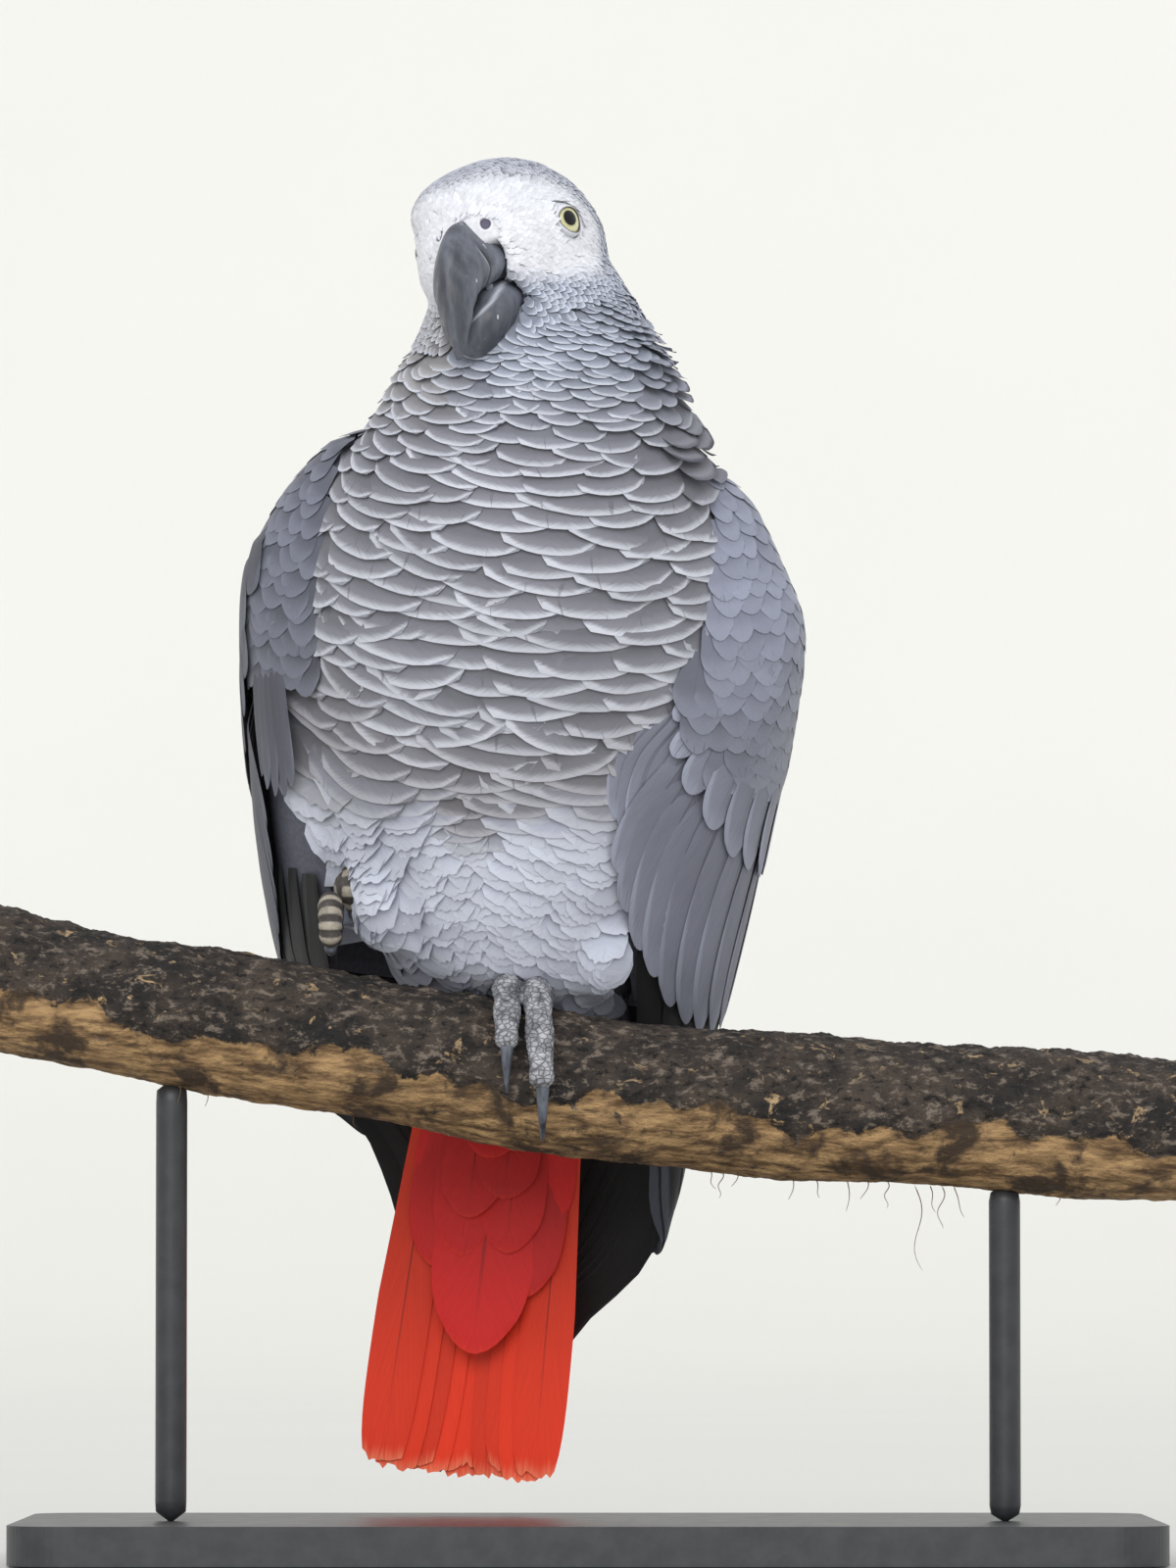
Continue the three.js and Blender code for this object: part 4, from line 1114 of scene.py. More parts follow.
class PARROT_OT_head_coat(bpy.types.Operator):
    """Small scalloped feathers of crown, nape, cheeks and throat, and the tiny white ones of the face"""

    bl_idname = "parrot.head_coat"
    bl_label = "Head feathers"

    def execute(self, context):
        seed = sizes().seed
        form = bpy.data.objects["body_form"]
        small = feather_finish(
            "head feathers", fringe=(0.76, 0.96), shown=(0.55, 0.8), painted_overlap_shade=0.64, barb=0.1, shaft=0.0,
            tick=0.0, relief=0.04, Roughness=0.75)
        tiny = feather_finish(
            "face feathers", fringe=(0.6, 1.0), shown=(0.1, 0.5), painted_overlap_shade=0.94, barb=0.04, shaft=0.0,
            tick=0.0, relief=0.02, Roughness=0.8)

        def allowed(spot):
            inside = spot[..., 2] - 0.45 * spot[..., 1] > -19.5 - NAPE_OVERLAP * ramp(0, 16, spot[..., 1])
            return inside & ~bare(spot) & (np.linalg.norm(spot, axis=-1) < 62)

        place, out, step = scattered(form, HEAD_ROOTS, seed, head_step, allowed)
        spot = HEAD.into(place)
        face = face_share(spot)
        width = step * mix(1.8, 1.5, face)
        length = step * mix(2.8, 3.2, face)
        left = spot[:, 0] > 0
        lift = mix(0.4, 0.0, face) * np.minimum(step / 3, 1.4)
        lift = lift + 0.8 * ramp(14, 30, spot[:, 1]) * ramp(0, -20, spot[:, 2]) * left
        lie = head_lie(spot)
        white = face > 0.5
        crown = ~white & (spot[:, 2] > -2)
        cheek = ~white & ~crown
        for name, part, columns, rows, finish, thin in (
            ("face_feathers", white, 2, 3, tiny, (0.3, 0.05, 0.02, 0.05)),
            ("crown_feathers", crown, 4, 4, small, (0.45, 0.08, 0.06, 0.06)),
            ("cheek_feathers_left", cheek & left, 4, 4, small, (0.6, 0.12, 0.1, 0.08)),
            ("cheek_feathers_right", cheek & ~left, 4, 4, small, (0.6, 0.12, 0.1, 0.08)),
        ):
            vane = vane_mesh("small_vane", columns, rows, broad, 0.32)
            parts = (some[part] for some in (place, out, lie, width, length, lift, bake_place(place)))
            roots = roots_from(*parts, seed + 2)
            finish_piece(grow_coat(name, roots, form, vane, finish, *thin), "face")
            bpy.data.objects.remove(vane)
        return {"FINISHED"}


# ---------- single large vanes ----------
class Vanes:
    """Gathers large feathers, each a bent grid with an upper and a lower face, into one mesh."""

    COLUMNS, ROWS = 10, 22
    CELLS = 8  # cells of the bake map along each side

    def __init__(self):
        self.points, self.faces, self.data = [], [], []
        u = np.linspace(-1, 1, self.COLUMNS + 1)
        # Three columns close together carry the raised shaft.
        middle = self.COLUMNS // 2
        u[middle - 1], u[middle + 1] = -0.11, 0.11
        self.across, self.along = np.meshgrid(u, np.linspace(0, 1, self.ROWS + 1))
        self.inside, self.corners = two_faced(self.ROWS, self.COLUMNS)

    def add(self, at, tone, fringe, strength, seed, flip=False):
        """One feather: at(across, along, face) gives its points, with face 1 above and -1 below."""
        top = at(self.across, self.along, 1.0 * self.inside)
        points = both_faces(self.inside, top, at(self.across, self.along, 0 * self.along - 1))
        count = len(self.points)
        self.faces.append((self.corners[:, ::-1] if flip else self.corners) + count * len(points))
        self.points.append(points)
        flat = np.stack([self.across / 2 + 0.5, self.along], -1)
        bake = (np.array([count % self.CELLS, count // self.CELLS]) + 0.06 + 0.88 * flat) / self.CELLS
        plain = np.zeros_like(top)
        grids = (flat, bake, plain + tone, plain + fringe, plain + (strength, seed, 0))
        self.data.append([both_faces(self.inside, grid) for grid in grids])

    def piece(self, name):
        made = mesh_object(name, np.concatenate(self.points), np.concatenate(self.faces))
        uv, bake, tone, fringe, mark = (np.concatenate(rows) for rows in zip(*self.data))
        corner_uv(made.data, "vane", uv)
        corner_uv(made.data, "OFBake", bake)
        store(made.data, "tone", tone, colour=True)
        store(made.data, "fringe", fringe, colour=True)
        store(made.data, "mark", mark)
        sharp_rim(made.data, np.tile(~both_faces(self.inside, self.inside), len(self.points)))
        return made


def quill_half(v, root=0.55, full=0.5, round_tip=0.85):
    """Half width of a large vane along its length, as a share of the widest."""
    tip = np.clip((v - full) / (1 - full), 0, 1)
    return np.where(v < full, mix(root, 1.0, v / full), np.sqrt(np.maximum(1 - round_tip * tip**3, 0)))


def shaft_ridge(across, half, v):
    """Height of the raised shaft over the vane, in millimetres."""
    return 0.3 * bell(across * half, 0, 0.9) * (1 - 0.7 * v)


# ---------- wings ----------
# Along each tier, at its first, halfway and last feather: level and share of the wing's width.
# A feather's line bends from its root through its middle to its tip.
WING_TIERS = {
    "primaries": {
        "count": 9, "width": 12.5, "lift": (-3.8, -2.8), "tilt": 9,
        "root": ((-60, 0.3), (-58, 0.62), (-56, 0.9)),
        "mid": ((-124, 0.22), (-120, 0.52), (-114, 0.85)),
        "tip": ((-204, 0.42), (-194, 0.72), (-164, 0.9)),
    },
    "secondaries": {
        "count": 11, "width": 15.5, "lift": (-3.8, -0.6), "tilt": 7,
        "root": ((-56, 0.08), (-50, 0.5), (-44, 0.9)),
        "mid": ((-96, 0.05), (-86, 0.45), (-70, 0.9)),
        "tip": ((-141, 0.05), (-132, 0.46), (-92, 0.93)),
    },
    "greater_coverts": {
        "count": 14, "width": 12.5, "lift": (-3.4, 0.9), "tilt": 6,
        "root": ((-6, 0.17), (-14, 0.42), (-14, 0.93)),
        "mid": ((-28, 0.08), (-46, 0.29), (-36, 0.92)),
        "tip": ((-48, 0.0), (-84, 0.23), (-58, 0.92)),
    },
    "leading_coverts": {
        "count": 5, "width": 6.5, "lift": (-1.6, 0.6), "tilt": 5,
        "root": ((2, 0.03), (4, 0.09), (6, 0.15)),
        "mid": ((-14, 0.0), (-15, 0.05), (-15, 0.11)),
        "tip": ((-34, 0.0), (-38, 0.03), (-36, 0.07)),
    },
    "median_coverts": {
        "count": 12, "width": 14, "lift": (-1.7, 2.0), "tilt": 5,
        "root": ((16, 0.18), (6, 0.5), (12, 0.92)),
        "mid": ((6, 0.12), (-18, 0.4), (-2, 0.92)),
        "tip": ((-8, 0.06), (-42, 0.36), (-20, 0.9)),
    },
    "upper_coverts": {
        "count": 11, "width": 13, "lift": (-0.4, 2.1), "tilt": 4,
        "root": ((32, 0.16), (24, 0.52), (30, 0.92)),
        "mid": ((24, 0.1), (4, 0.44), (14, 0.92)),
        "tip": ((12, 0.05), (-20, 0.38), (2, 0.9)),
    },
}
RIGHT_LIFT = 24  # the right wing's secondaries end this much higher at the front
RIGHT_BACK = 0.2  # the right wing's coverts start this share of the wing's width further back
RIGHT_WING_PAINTED_SHADE = 0.44  # painted shade: the right wing's feathers are darkened to this share of the left's, as that wing lies in shade
VANE_THICK = 0.34
LESSER_START = {1: -14, -1: 6}  # level of the lowest row of lesser coverts on each wing


def tier_lines(tier, side):
    """The bent lines of a tier's feathers, from the front of the wing to its back."""
    size = WING_TIERS[tier]
    for k in range(size["count"]):
        share = k / (size["count"] - 1)
        line = [[through(values, share) for values in zip(*size[part])] for part in ("root", "mid", "tip")]
        if tier == "secondaries" and side < 0:
            line[1][0] += RIGHT_LIFT / 2 * (1 - share)
            line[2][0] += RIGHT_LIFT * (1 - share)
        elif side < 0 and tier.endswith("coverts"):
            for part in line:
                part[1] += RIGHT_BACK * (1 - share)
        yield share, line


def wing_vane(side, size, line, random):
    """The surface of one wing feather, as a function for Vanes.add."""
    root, mid, tip = line
    half_width = size["width"] / 2 * random.uniform(0.96, 1.04)
    longer = random.uniform(-1.2, 1.2)
    lean = math.sin(math.radians(size["tilt"]))
    bend = random.uniform(-0.3, 0.3)

    def at(across, along, face):
        t = along * (1 - 0.035 * across**2 * along**4)
        level = bezier(root[0], mid[0], tip[0] + longer, t)
        half = half_width * quill_half(along)
        degrees = mix(*wing_edges(side, level), bezier(root[1], mid[1], tip[1], t))
        degrees = degrees + across * half / wing_degree(level, degrees)
        out = mix(*size["lift"], np.minimum(1, 3 * t)) - across * half * lean
        out = out + shaft_ridge(across, half, along) + bend * along**2 + face * VANE_THICK / 2
        out = out + 0.25 * (1 - across**2)
        return BIRD.out(wing_point(side, level, degrees, out))

    return at


def wing_tones(tier, share, vanes):
    """Colour over one wing feather: pale in front, darker behind the shaft and towards the quills. On the
    coverts the darker half behind the shaft is painted shadow.
    """
    behind = ramp(-0.5, 0.35, vanes.across)[..., None]
    black, covert = dye("quill_black"), dye("covert_grey")
    if tier == "primaries":
        return mix(black * 1.25, black, behind)
    if tier == "secondaries":
        tone = mix(black * 2, dye("quill_grey"), ramp(0.0, 0.3, share))
        tone = mix(tone, covert * 0.85, ramp(0.35, 0.8, share))
        tone = mix(tone, mix(black * 1.4, tone * 0.8, ramp(0.3, 0.7, share)), behind)
        return mix(tone, black * 1.5, ramp(0.75, 0.92, vanes.along)[..., None])
    # Painted shadow: a covert's half behind the shaft is darkened, as the shade along the edge that its
    # neighbour overlaps.
    return mix(covert, covert * 0.82, behind) * mix(0.92, 1.04, vanes.along[..., None])


def wing_sheet(side):
    """The closed arm of a folded wing, between the coverts on its outer face and the flank."""
    level, share = np.meshgrid(np.linspace(-78, 60, 36), np.linspace(0, 1, 24), indexing="ij")
    front, back = wing_edges(side, level)
    degrees = mix(front + 2, back - 1, share)
    thin = 1 - np.minimum(1, 6 * np.minimum(share, 1 - share)) * np.minimum(1, 5 * (60 - level) / 60 + 0.15)
    outer = mix(-1.6, 0.6, ramp(-35, 15, level)) - 1.4 - 2.5 * thin
    inner = np.minimum(mix(-4.6, -12.5, ramp(-70, -20, level)) + 2.0 * thin, outer - 0.3)
    points = BIRD.out([wing_point(side, level, degrees, out) for out in (outer, inner)])
    index = np.arange(level.size).reshape(level.shape)
    rim = np.array([*index[0, :-1], *index[:-1, -1], *index[-1, :0:-1], *index[:0:-1, 0]])
    after = np.roll(rim, -1)
    wall = np.stack([rim, after, after + level.size, rim + level.size], -1)
    faces = [quads(index), quads(index + level.size)[:, [0, 3, 2, 1]], wall]
    return points.reshape(-1, 3), np.concatenate(faces)


def lesser_rows(side, seed):
    """Staggered rows of lesser coverts over the shoulder, as levels and degrees."""
    random = np.random.default_rng(seed)
    spots = []
    for row, level in enumerate(np.arange(LESSER_START[side], 66, 4.2)):
        front, back = (float(edge) for edge in wing_edges(side, level))
        front, back = front + 1 + 6 * float(ramp(14, -8, level)), back - 1
        count = int((back - front) * float(wing_degree(level, (front + back) / 2)) / 5.4) + 1
        share = (np.arange(count) + 0.5 * (row % 2) + 0.25) / count
        share = np.clip(share + random.normal(0, 0.06 / count, count), 0, 1)
        drop = 14 * (share - 0.2) ** 2 * 3 * (1 - share)
        row_spots = np.stack([level - drop + random.normal(0, 0.5, count), mix(front, back, share)], -1)
        spots.append(row_spots[(share > 0.12) | (level > 2)])
    return np.concatenate(spots)


class PARROT_OT_wings(bpy.types.Operator):
    """Both folded wings: arm, lesser coverts, four tiers of coverts, secondaries and primaries"""

    bl_idname = "parrot.wings"
    bl_label = "Wings"

    def execute(self, context):
        seed = sizes().seed
        quill = feather_finish(
            "wing feathers", fringe=(0.84, 1.02), painted_overlap_shade=0.85, barb=0.2, shaft=0.5, side=0.32,
            relief=0.2, Roughness=0.62, Sheen_Weight=0.1)
        small = feather_finish(
            "lesser coverts", fringe=(0.55, 1.0), painted_overlap_shade=0.8, barb=0.12, shaft=0.12, relief=0.1,
            Roughness=0.68, Sheen_Weight=0.15)
        lesser_vane = vane_mesh("lesser_vane", 6, 7, broad, 0.22)
        for name, side in SIDES.items():
            # Painted shade: every feather of the right wing is darkened, as that wing lies in shade.
            painted_shade = 1 if side > 0 else RIGHT_WING_PAINTED_SHADE
            random = np.random.default_rng(seed + 20 + side)
            arm = face_outwards(mesh_object(f"wing_{name}_arm", *wing_sheet(side)))
            # Painted shade: the arm under the coverts is coloured a dark covert grey, as the shade beneath
            # them.
            tone = np.tile(dye("covert_grey") * 0.6, (len(arm.data.vertices), 1))
            store(arm.data, "tone", tone, colour=True)
            finish_piece(arm, "wing_feathers", f"wing_{name}", material=skin_finish())
            for tier, size in WING_TIERS.items():
                strength = {"primaries": 0.05, "secondaries": 0.25}.get(tier, 0.9)
                vanes = Vanes()
                for share, line in tier_lines(tier, side):
                    vary = random.uniform(0.94, 1.06) * painted_shade
                    vanes.add(
                        wing_vane(side, size, line, random), wing_tones(tier, share, vanes) * vary,
                        dye("covert_edge") * vary, strength, random.uniform(0, 1), flip=side > 0)
                piece = vanes.piece(f"wing_{name}_{tier}")
                finish_piece(piece, "wing_feathers", f"wing_{name}", material=quill)
            self.lesser_coverts(name, side, lesser_vane, small, painted_shade)
        bpy.data.objects.remove(lesser_vane)
        return {"FINISHED"}

    def lesser_coverts(self, name, side, vane, finish, painted_shade):
        """Small scallops over the shoulder, laid on the wing's outer sheet."""
        form = self.sheet_form(name, side)
        level, degrees = lesser_rows(side, sizes().seed + side).T
        place, out = snap(form, BIRD.out(wing_point(side, level, degrees, 0 * level)))
        lie = unit(BIRD.out(wing_point(side, level - 4, degrees, 0 * level)) - place)
        width = mix(11.5, 7.0, ramp(-4, 60, level))
        bake = np.stack([
            0.5 + side * (0.02 + 0.44 * np.clip((degrees - 30) / 150, 0, 1)), 0.05 + 0.9 * (level + 10) / 80,
        ], -1)
        roots = roots_from(place, out, lie, width, width * 1.55, 0.1 + 0 * width, bake, sizes().seed + 3)
        vary = roots["tone"].mean(1, keepdims=True) / roots["tone"].mean() * painted_shade
        tone = mix(dye("covert_grey") * 0.82, dye("shoulder_grey"), ramp(0, 42, level)[:, None])
        roots["tone"] = tone * vary
        roots["fringe"] = np.tile(dye("covert_edge"), (len(level), 1))
        roots["mark"][:, 0] = 0.32
        piece = grow_coat(f"wing_{name}_lesser_coverts", roots, form, vane, finish, 0.8, 0.12, 0.05, 0.1)
        finish_piece(piece, "wing_feathers", f"wing_{name}")

    def sheet_form(self, name, side):
        """The open sheet that the lesser coverts lie on."""
        level, share = np.meshgrid(np.linspace(-24, 66, 46), np.linspace(-0.12, 1.1, 50), indexing="ij")
        degrees = mix(*wing_edges(side, level), share)
        low = {1: mix(2.4, 3.3, ramp(-24, -14, level)), -1: mix(0.4, 1.6, ramp(-20, 10, level))}[side]
        height = mix(low, 1.6, ramp(24, 40, level)) - 6 * np.clip(level - 55, 0, 11) / 11
        faces = quads(np.arange(level.size).reshape(level.shape))[:, ::side]
        form = mesh_object(f"wing_{name}_form", BIRD.out(wing_point(side, level, degrees, height)), faces)
        out = normals_of(form.data)
        if np.mean(np.sum(out * (points_of(form.data) - BIRD.origin * MM), -1)) < 0:
            form.data.flip_normals()
            out = -out
        store(form.data, "out", out)
        form.hide_render = True
        return form


# ---------- tail ----------
TAIL_QUILLS = 12
TAIL_TOP, TAIL_TIP = -98, -205
TAIL_Y = (60, 71)  # depth at the top and at the tip
TAIL_HALF = (17, 20.5)  # from the middle to the outermost shaft, at the top and at the tip
TAIL_DRIFT = -1.6
QUILL_WIDTH = 14.5
QUILL_STEP = 0.9  # each pair lies this much under the pair inside it
QUILL_TOP_OUT = 2.4
# Tail coverts: sideways place, level of the tip, width; the lowest first.
UNDER_TAIL_COVERTS = (
    (-14, -134, 16), (14, -138, 17), (-12, -152, 19), (11, -157, 20), (-6, -148, 18), (6, -146, 18),
    (0, -173, 27), (-5, -138, 17), (4, -132, 17), (-1, -122, 15),
)
UPPER_TAIL_COVERTS = (
    (-14, -128, 14), (14, -128, 14), (-9, -138, 16), (9, -138, 16), (0, -148, 17), (0, -126, 15),
)
COVERT_LIFT_MOST = 8.0  # the most that the tip of a tail covert stands off


def tail_quill(k, random):
    """One tail quill, counted in pairs from the middle out."""
    pair, side = k // 2, (1 if k % 2 else -1)
    place = (pair + 0.25) / (TAIL_QUILLS / 2 - 0.75)
    under = 0 if k == 1 else pair + 1
    short = 1 - 0.008 * ((5 * k) % 4)
    tear = random.uniform(-1, 1, 11) * 0.009

    def at(across, along, face):
        column = np.clip(((across + 1) * 5).round().astype(int), 0, 10)
        t = along * (1 - 0.014 * across**4 * along**6) * short + tear[column] * along**10
        tip = np.sqrt(1 - 0.45 * np.clip((along - 0.6) / 0.4, 0, 1) ** 4)
        half = QUILL_WIDTH / 2 * np.where(along < 0.6, mix(0.55, 1, along / 0.6), tip)
        x = side * place * mix(*TAIL_HALF, t) + across * half + TAIL_DRIFT * t
        y = mix(*TAIL_Y, t) + QUILL_TOP_OUT - under * QUILL_STEP + face * 0.2
        y = y - side * across * 0.35 - shaft_ridge(across, half, along)
        return BIRD.out(np.stack([x, y, mix(TAIL_TOP, TAIL_TIP, t)], -1))

    return at


def tail_covert(x, tip, width, face, lift, random):
    """A broad round covert: face -1 under the tail, 1 above it."""
    wave = random.uniform(0, 6)

    def at(across, along, side):
        level = mix(TAIL_TOP + 2, tip, along * (1 - 0.1 * across**2 * along**3))
        t = (level - TAIL_TOP) / (TAIL_TIP - TAIL_TOP)
        half = width / 2 * quill_half(along, 0.62, 0.6, 0.5) * (1 + 0.015 * np.sin(9 * along + wave))
        out = mix(3, lift, along) - 0.5 * across**2 + 0.5 * shaft_ridge(across, half, along) + side * 0.2
        y = mix(*TAIL_Y, t) + face * out
        return BIRD.out(np.stack([x * mix(0.9, 1, along) + across * half, y, level], -1))

    return at


class PARROT_OT_tail(bpy.types.Operator):
    """Red tail quills with worn tips, and the dark red coverts over their roots"""

    bl_idname = "parrot.tail"
    bl_label = "Tail"

    def execute(self, context):
        random = np.random.default_rng(sizes().seed + 40)
        finish = feather_finish(
            "tail feathers", fringe=(0.96, 1.02), painted_overlap_shade=0.9, barb=0.14, shaft=0.85, tick=0.2, side=0.0,
            relief=0.2, Roughness=0.6)
        quills, coverts = Vanes(), Vanes()
        for k in range(TAIL_QUILLS):
            tone = dye("tail_red") * random.uniform(0.9, 1.08)
            quills.add(tail_quill(k, random), tone, dye("tail_edge"), 1.0, random.uniform(0, 1))
        for face, rows, lift, step, bright in (
            (-1, UNDER_TAIL_COVERTS, 4.2, 0.5, 1.25), (1, UPPER_TAIL_COVERTS, 4.6, 0.6, 1.2),
        ):
            for k, size in enumerate(rows):
                shape = tail_covert(*size, face, min(lift + step * k, COVERT_LIFT_MOST), random)
                tone = dye("vent_red") * random.uniform(0.9, bright)
                coverts.add(shape, tone, dye("tail_red"), 0.5, random.uniform(0, 1))
        for name, vanes in (("tail_quills", quills), ("tail_coverts", coverts)):
            finish_piece(face_outwards(vanes.piece(name)), "tail_feathers", "tail", material=finish)
        return {"FINISHED"}


# ---------- bare parts of the head, in the head's frame ----------
# The hooked ridge of the upper bill and its cutting edge, as (forward, height).
RIDGE = spline([(9, 2.2), (17, 2.2), (24.5, -0.8), (29.6, -7.5), (31.6, -16), (31.4, -26), (29.8, -35.4)])
CUTTING_EDGE = spline([(9, -14), (13, -15), (18, -17), (22.4, -19.5), (24.6, -23), (26.4, -29), (29, -34.8)])
# Half width of the upper bill, in six even steps from its root to its tip.
BILL_HALF = smooth_table([(0, 7.4), (1, 7.4), (2, 6.7), (3, 5.9), (4, 4.7), (5, 2.9), (6, 0.7)])
# The lower bill from the chin forward: forward, middle height, half width, half height.
LOWER_BILL = smooth_table([
    (5, -19, 9, 6.8), (10.5, -21.6, 9.8, 9), (16, -24, 9.4, 9.2), (20.5, -26, 7.6, 7.2),
    (23.4, -26.6, 4.8, 4.6),
])
LOWER_BILL_ENDS = (5, 23.4)  # how far forward it starts and ends
BILL_TURN = math.radians(4.5)  # the bill and cere are turned this much to the bird's right
BILL_ROWS = {"upper": 110, "lower": 56}
BILL_COLUMNS = 72
LID_OPENING = 3.95  # half width of the opening between the eyelids
LID_LEAN = 0.06  # the opening's top leans forward
LID_REACH = 8.6  # where the bare ring round the eye has run into the face
LID_WALL = 0.5
LID_ROWS, LID_COLUMNS = 26, 56
PUPIL_ANGLE = 0.38  # half angle of the pupil seen from the eyeball's centre
IRIS_ANGLE = 1.3
GAZE_TURN = 0.47  # how far the gaze is turned forward, in radians
GAZE_UP = 0.06
NOSTRIL_AT = np.array([6.7, -17.2, 0.3])
NOSTRIL_INTO = np.array([0, -6.0, -5.0])  # the point that the nostrils run towards
NOSTRIL_RADIUS = 1.5
NOSTRIL_DEPTH = 0.7
NOSTRIL_ROOM = 1.8  # how much deeper the skin lies behind a nostril


def to_right(points):
    """Turns head-frame points to the bird's right, about the upright through the head."""
    x, y, z = np.moveaxis(points, -1, 0)
    c, s = math.cos(BILL_TURN), math.sin(BILL_TURN)
    return np.stack([c * x + s * y, c * y - s * x, z], -1)


def loft(name, ring_at, rows, columns):
    """A closed body from rings: ring_at(t, angle) gives head-frame points, t running from 0 to 1."""
    points, faces = bar(ring_at(*ring_grid(rows, columns)))
    return face_outwards(mesh_object(name, HEAD.out(points), faces))


def from_top(turn):
    """The angle round the bill from its ridge, on either side."""
    return math.pi - np.abs(turn - math.pi)


def plate_line(turn):
    """How far along the upper bill the groove in front of the gape's plate runs."""
    return 0.3 + 0.06 * ramp(1.9, 2.4, from_top(turn))


def plate_reach(turn):
    """How strong the groove is round the bill: none on the ridge, full on the sides."""
    return ramp(1.2, 1.6, from_top(turn))


def upper_bill_ring(t, turn):
    """The upper bill: a keeled ridge, flaring sides and a cutting edge with its notch."""
    top, edge = RIDGE(t), CUTTING_EDGE(t)
    up = np.cos(turn)
    side = BILL_HALF(t * 6) * np.sin(turn) * (1 - mix(0.56, 0.38, t) * up)
    # A groove sets the lobed plate at the gape off from the rest of the bill.
    off = t - plate_line(turn)
    side = side * (1 - 0.16 * bell(off, 0, 0.014) * plate_reach(turn))
    side = side * (1 + 0.12 * ramp(0.02, -0.06, off) * ramp(-0.22, -0.14, off) * plate_reach(turn))
    side = side + 0.16 * np.sin(turn) * np.sin(t * 46 + 3 * up) * ramp(0.3, 0.6, t)
    along = up * (1 + 0.02 * bell(t, 0.55, 0.08) * ramp(0, -1, up))
    flat = (top + edge) / 2 + (top - edge) / 2 * along[..., None]
    return to_right(np.stack([side, -flat[..., 0], flat[..., 1]], -1))


def lower_bill_ring(t, turn):
    """The lower bill: a scoop whose end is drawn in."""
    forward = mix(*LOWER_BILL_ENDS, t)
    mid, half, tall = np.moveaxis(LOWER_BILL(forward), -1, 0)
    up = np.cos(turn)
    close = np.sqrt(np.clip(1 - np.clip((t - 0.9) / 0.1, 0, 1) ** 2 * 0.55, 0, 1))
    side = half * np.sin(turn) * (1 + 0.32 * up) * close
    scoop = 0.7 * bell(np.sin(turn), 0, math.sqrt(0.12)) * ramp(0.2, 1, up) * ramp(0.5, 1, t)
    return to_right(np.stack([side, -forward, mid + tall * up * close - scoop], -1))


def horn_finish():
    """Charcoal horn with growth lines, pale flakes and a dull polish, with painted highlight lines and a
    groove darkened as painted shade.
    """
    made = Shader("dark horn", Specular_IOR_Level=0.45, Coat_Weight=0.08, Coat_Roughness=0.35)
    along = made.place((1, 1, 0.28))
    cloud = made.grain(along, 160.0, 5.0, 0.6)
    flake = made.grain(made.place((1, 1, 0.6)), 520.0, 1.0, 0.6, 0.3)
    dust = made.grain(made.place(), 60.0)
    body = made.fade(cloud, 0.3, 0.72, (64, 67, 74), (116, 120, 131))
    # Painted highlight where pale marks it: a line along the lip in front of the groove, and one along the
    # lower bill's side. Painted shade where dark marks it: the groove before the plate at the gape.
    body = made.blend(made.attribute("pale"), body, (190, 194, 204))
    body = made.blend(made.attribute("dark"), body, (22, 22, 25))
    specks = made.times(made.smooth(flake, 0.69, 0.72), made.smooth(dust, 0.5, 0.6))
    made.colour(made.blend(made.times(specks, 0.75), body, (214, 216, 220)))
    made.rough(made.smooth(cloud, 0.2, 0.8, 0.34, 0.55))
    made.bump(made.plus(made.grain(along, 700.0, 4.0, 0.6), made.times(cloud, 2.0)), 0.4, 0.3)
    return made.material


def claw_finish():
    """Slate horn of the claws, with paler clouds."""
    made = Shader("slate claw", Specular_IOR_Level=0.5)
    cloud = made.grain(made.place((1, 1, 0.3)), 420.0, 4.0, 0.6)
    made.colour(made.fade(cloud, 0.3, 0.7, (52, 55, 62), (108, 113, 124)))
    made.rough(made.smooth(cloud, 0.3, 0.7, 0.3, 0.5))
    made.bump(cloud, 0.3, 0.2)
    return made.material


class PARROT_OT_bill(bpy.types.Operator):
    """Upper and lower bill of charcoal horn"""

    bl_idname = "parrot.bill"
    bl_label = "Bill"

    def execute(self, context):
        horn = horn_finish()
        for name, ring in (("upper", upper_bill_ring), ("lower", lower_bill_ring)):
            piece = loft(f"bill_{name}_horn", ring, BILL_ROWS[name], BILL_COLUMNS)
            t, turn = ring_grid(BILL_ROWS[name], BILL_COLUMNS)
            # The pale lines are painted highlights on the lip and the lower bill's side; the dark line is
            # painted shade in the groove.
            if name == "upper":
                off = t - plate_line(turn)
                pale = 0.8 * bell(off, 0.026, 0.01) * plate_reach(turn)
                dark = bell(off, 0, 0.017) * plate_reach(turn)
            else:
                pale = bell(from_top(turn) - 0.42 * t, 0.42, 0.075) * ramp(0.1, 0.4, t)
                dark = 0 * t
            for mark, values in (("pale", pale), ("dark", dark)):
                store(piece.data, mark, [*values.ravel(), 0, 0])  # the two poles are unmarked
            finish_piece(piece, "bill", f"bill_{name}", material=horn)
        return {"FINISHED"}


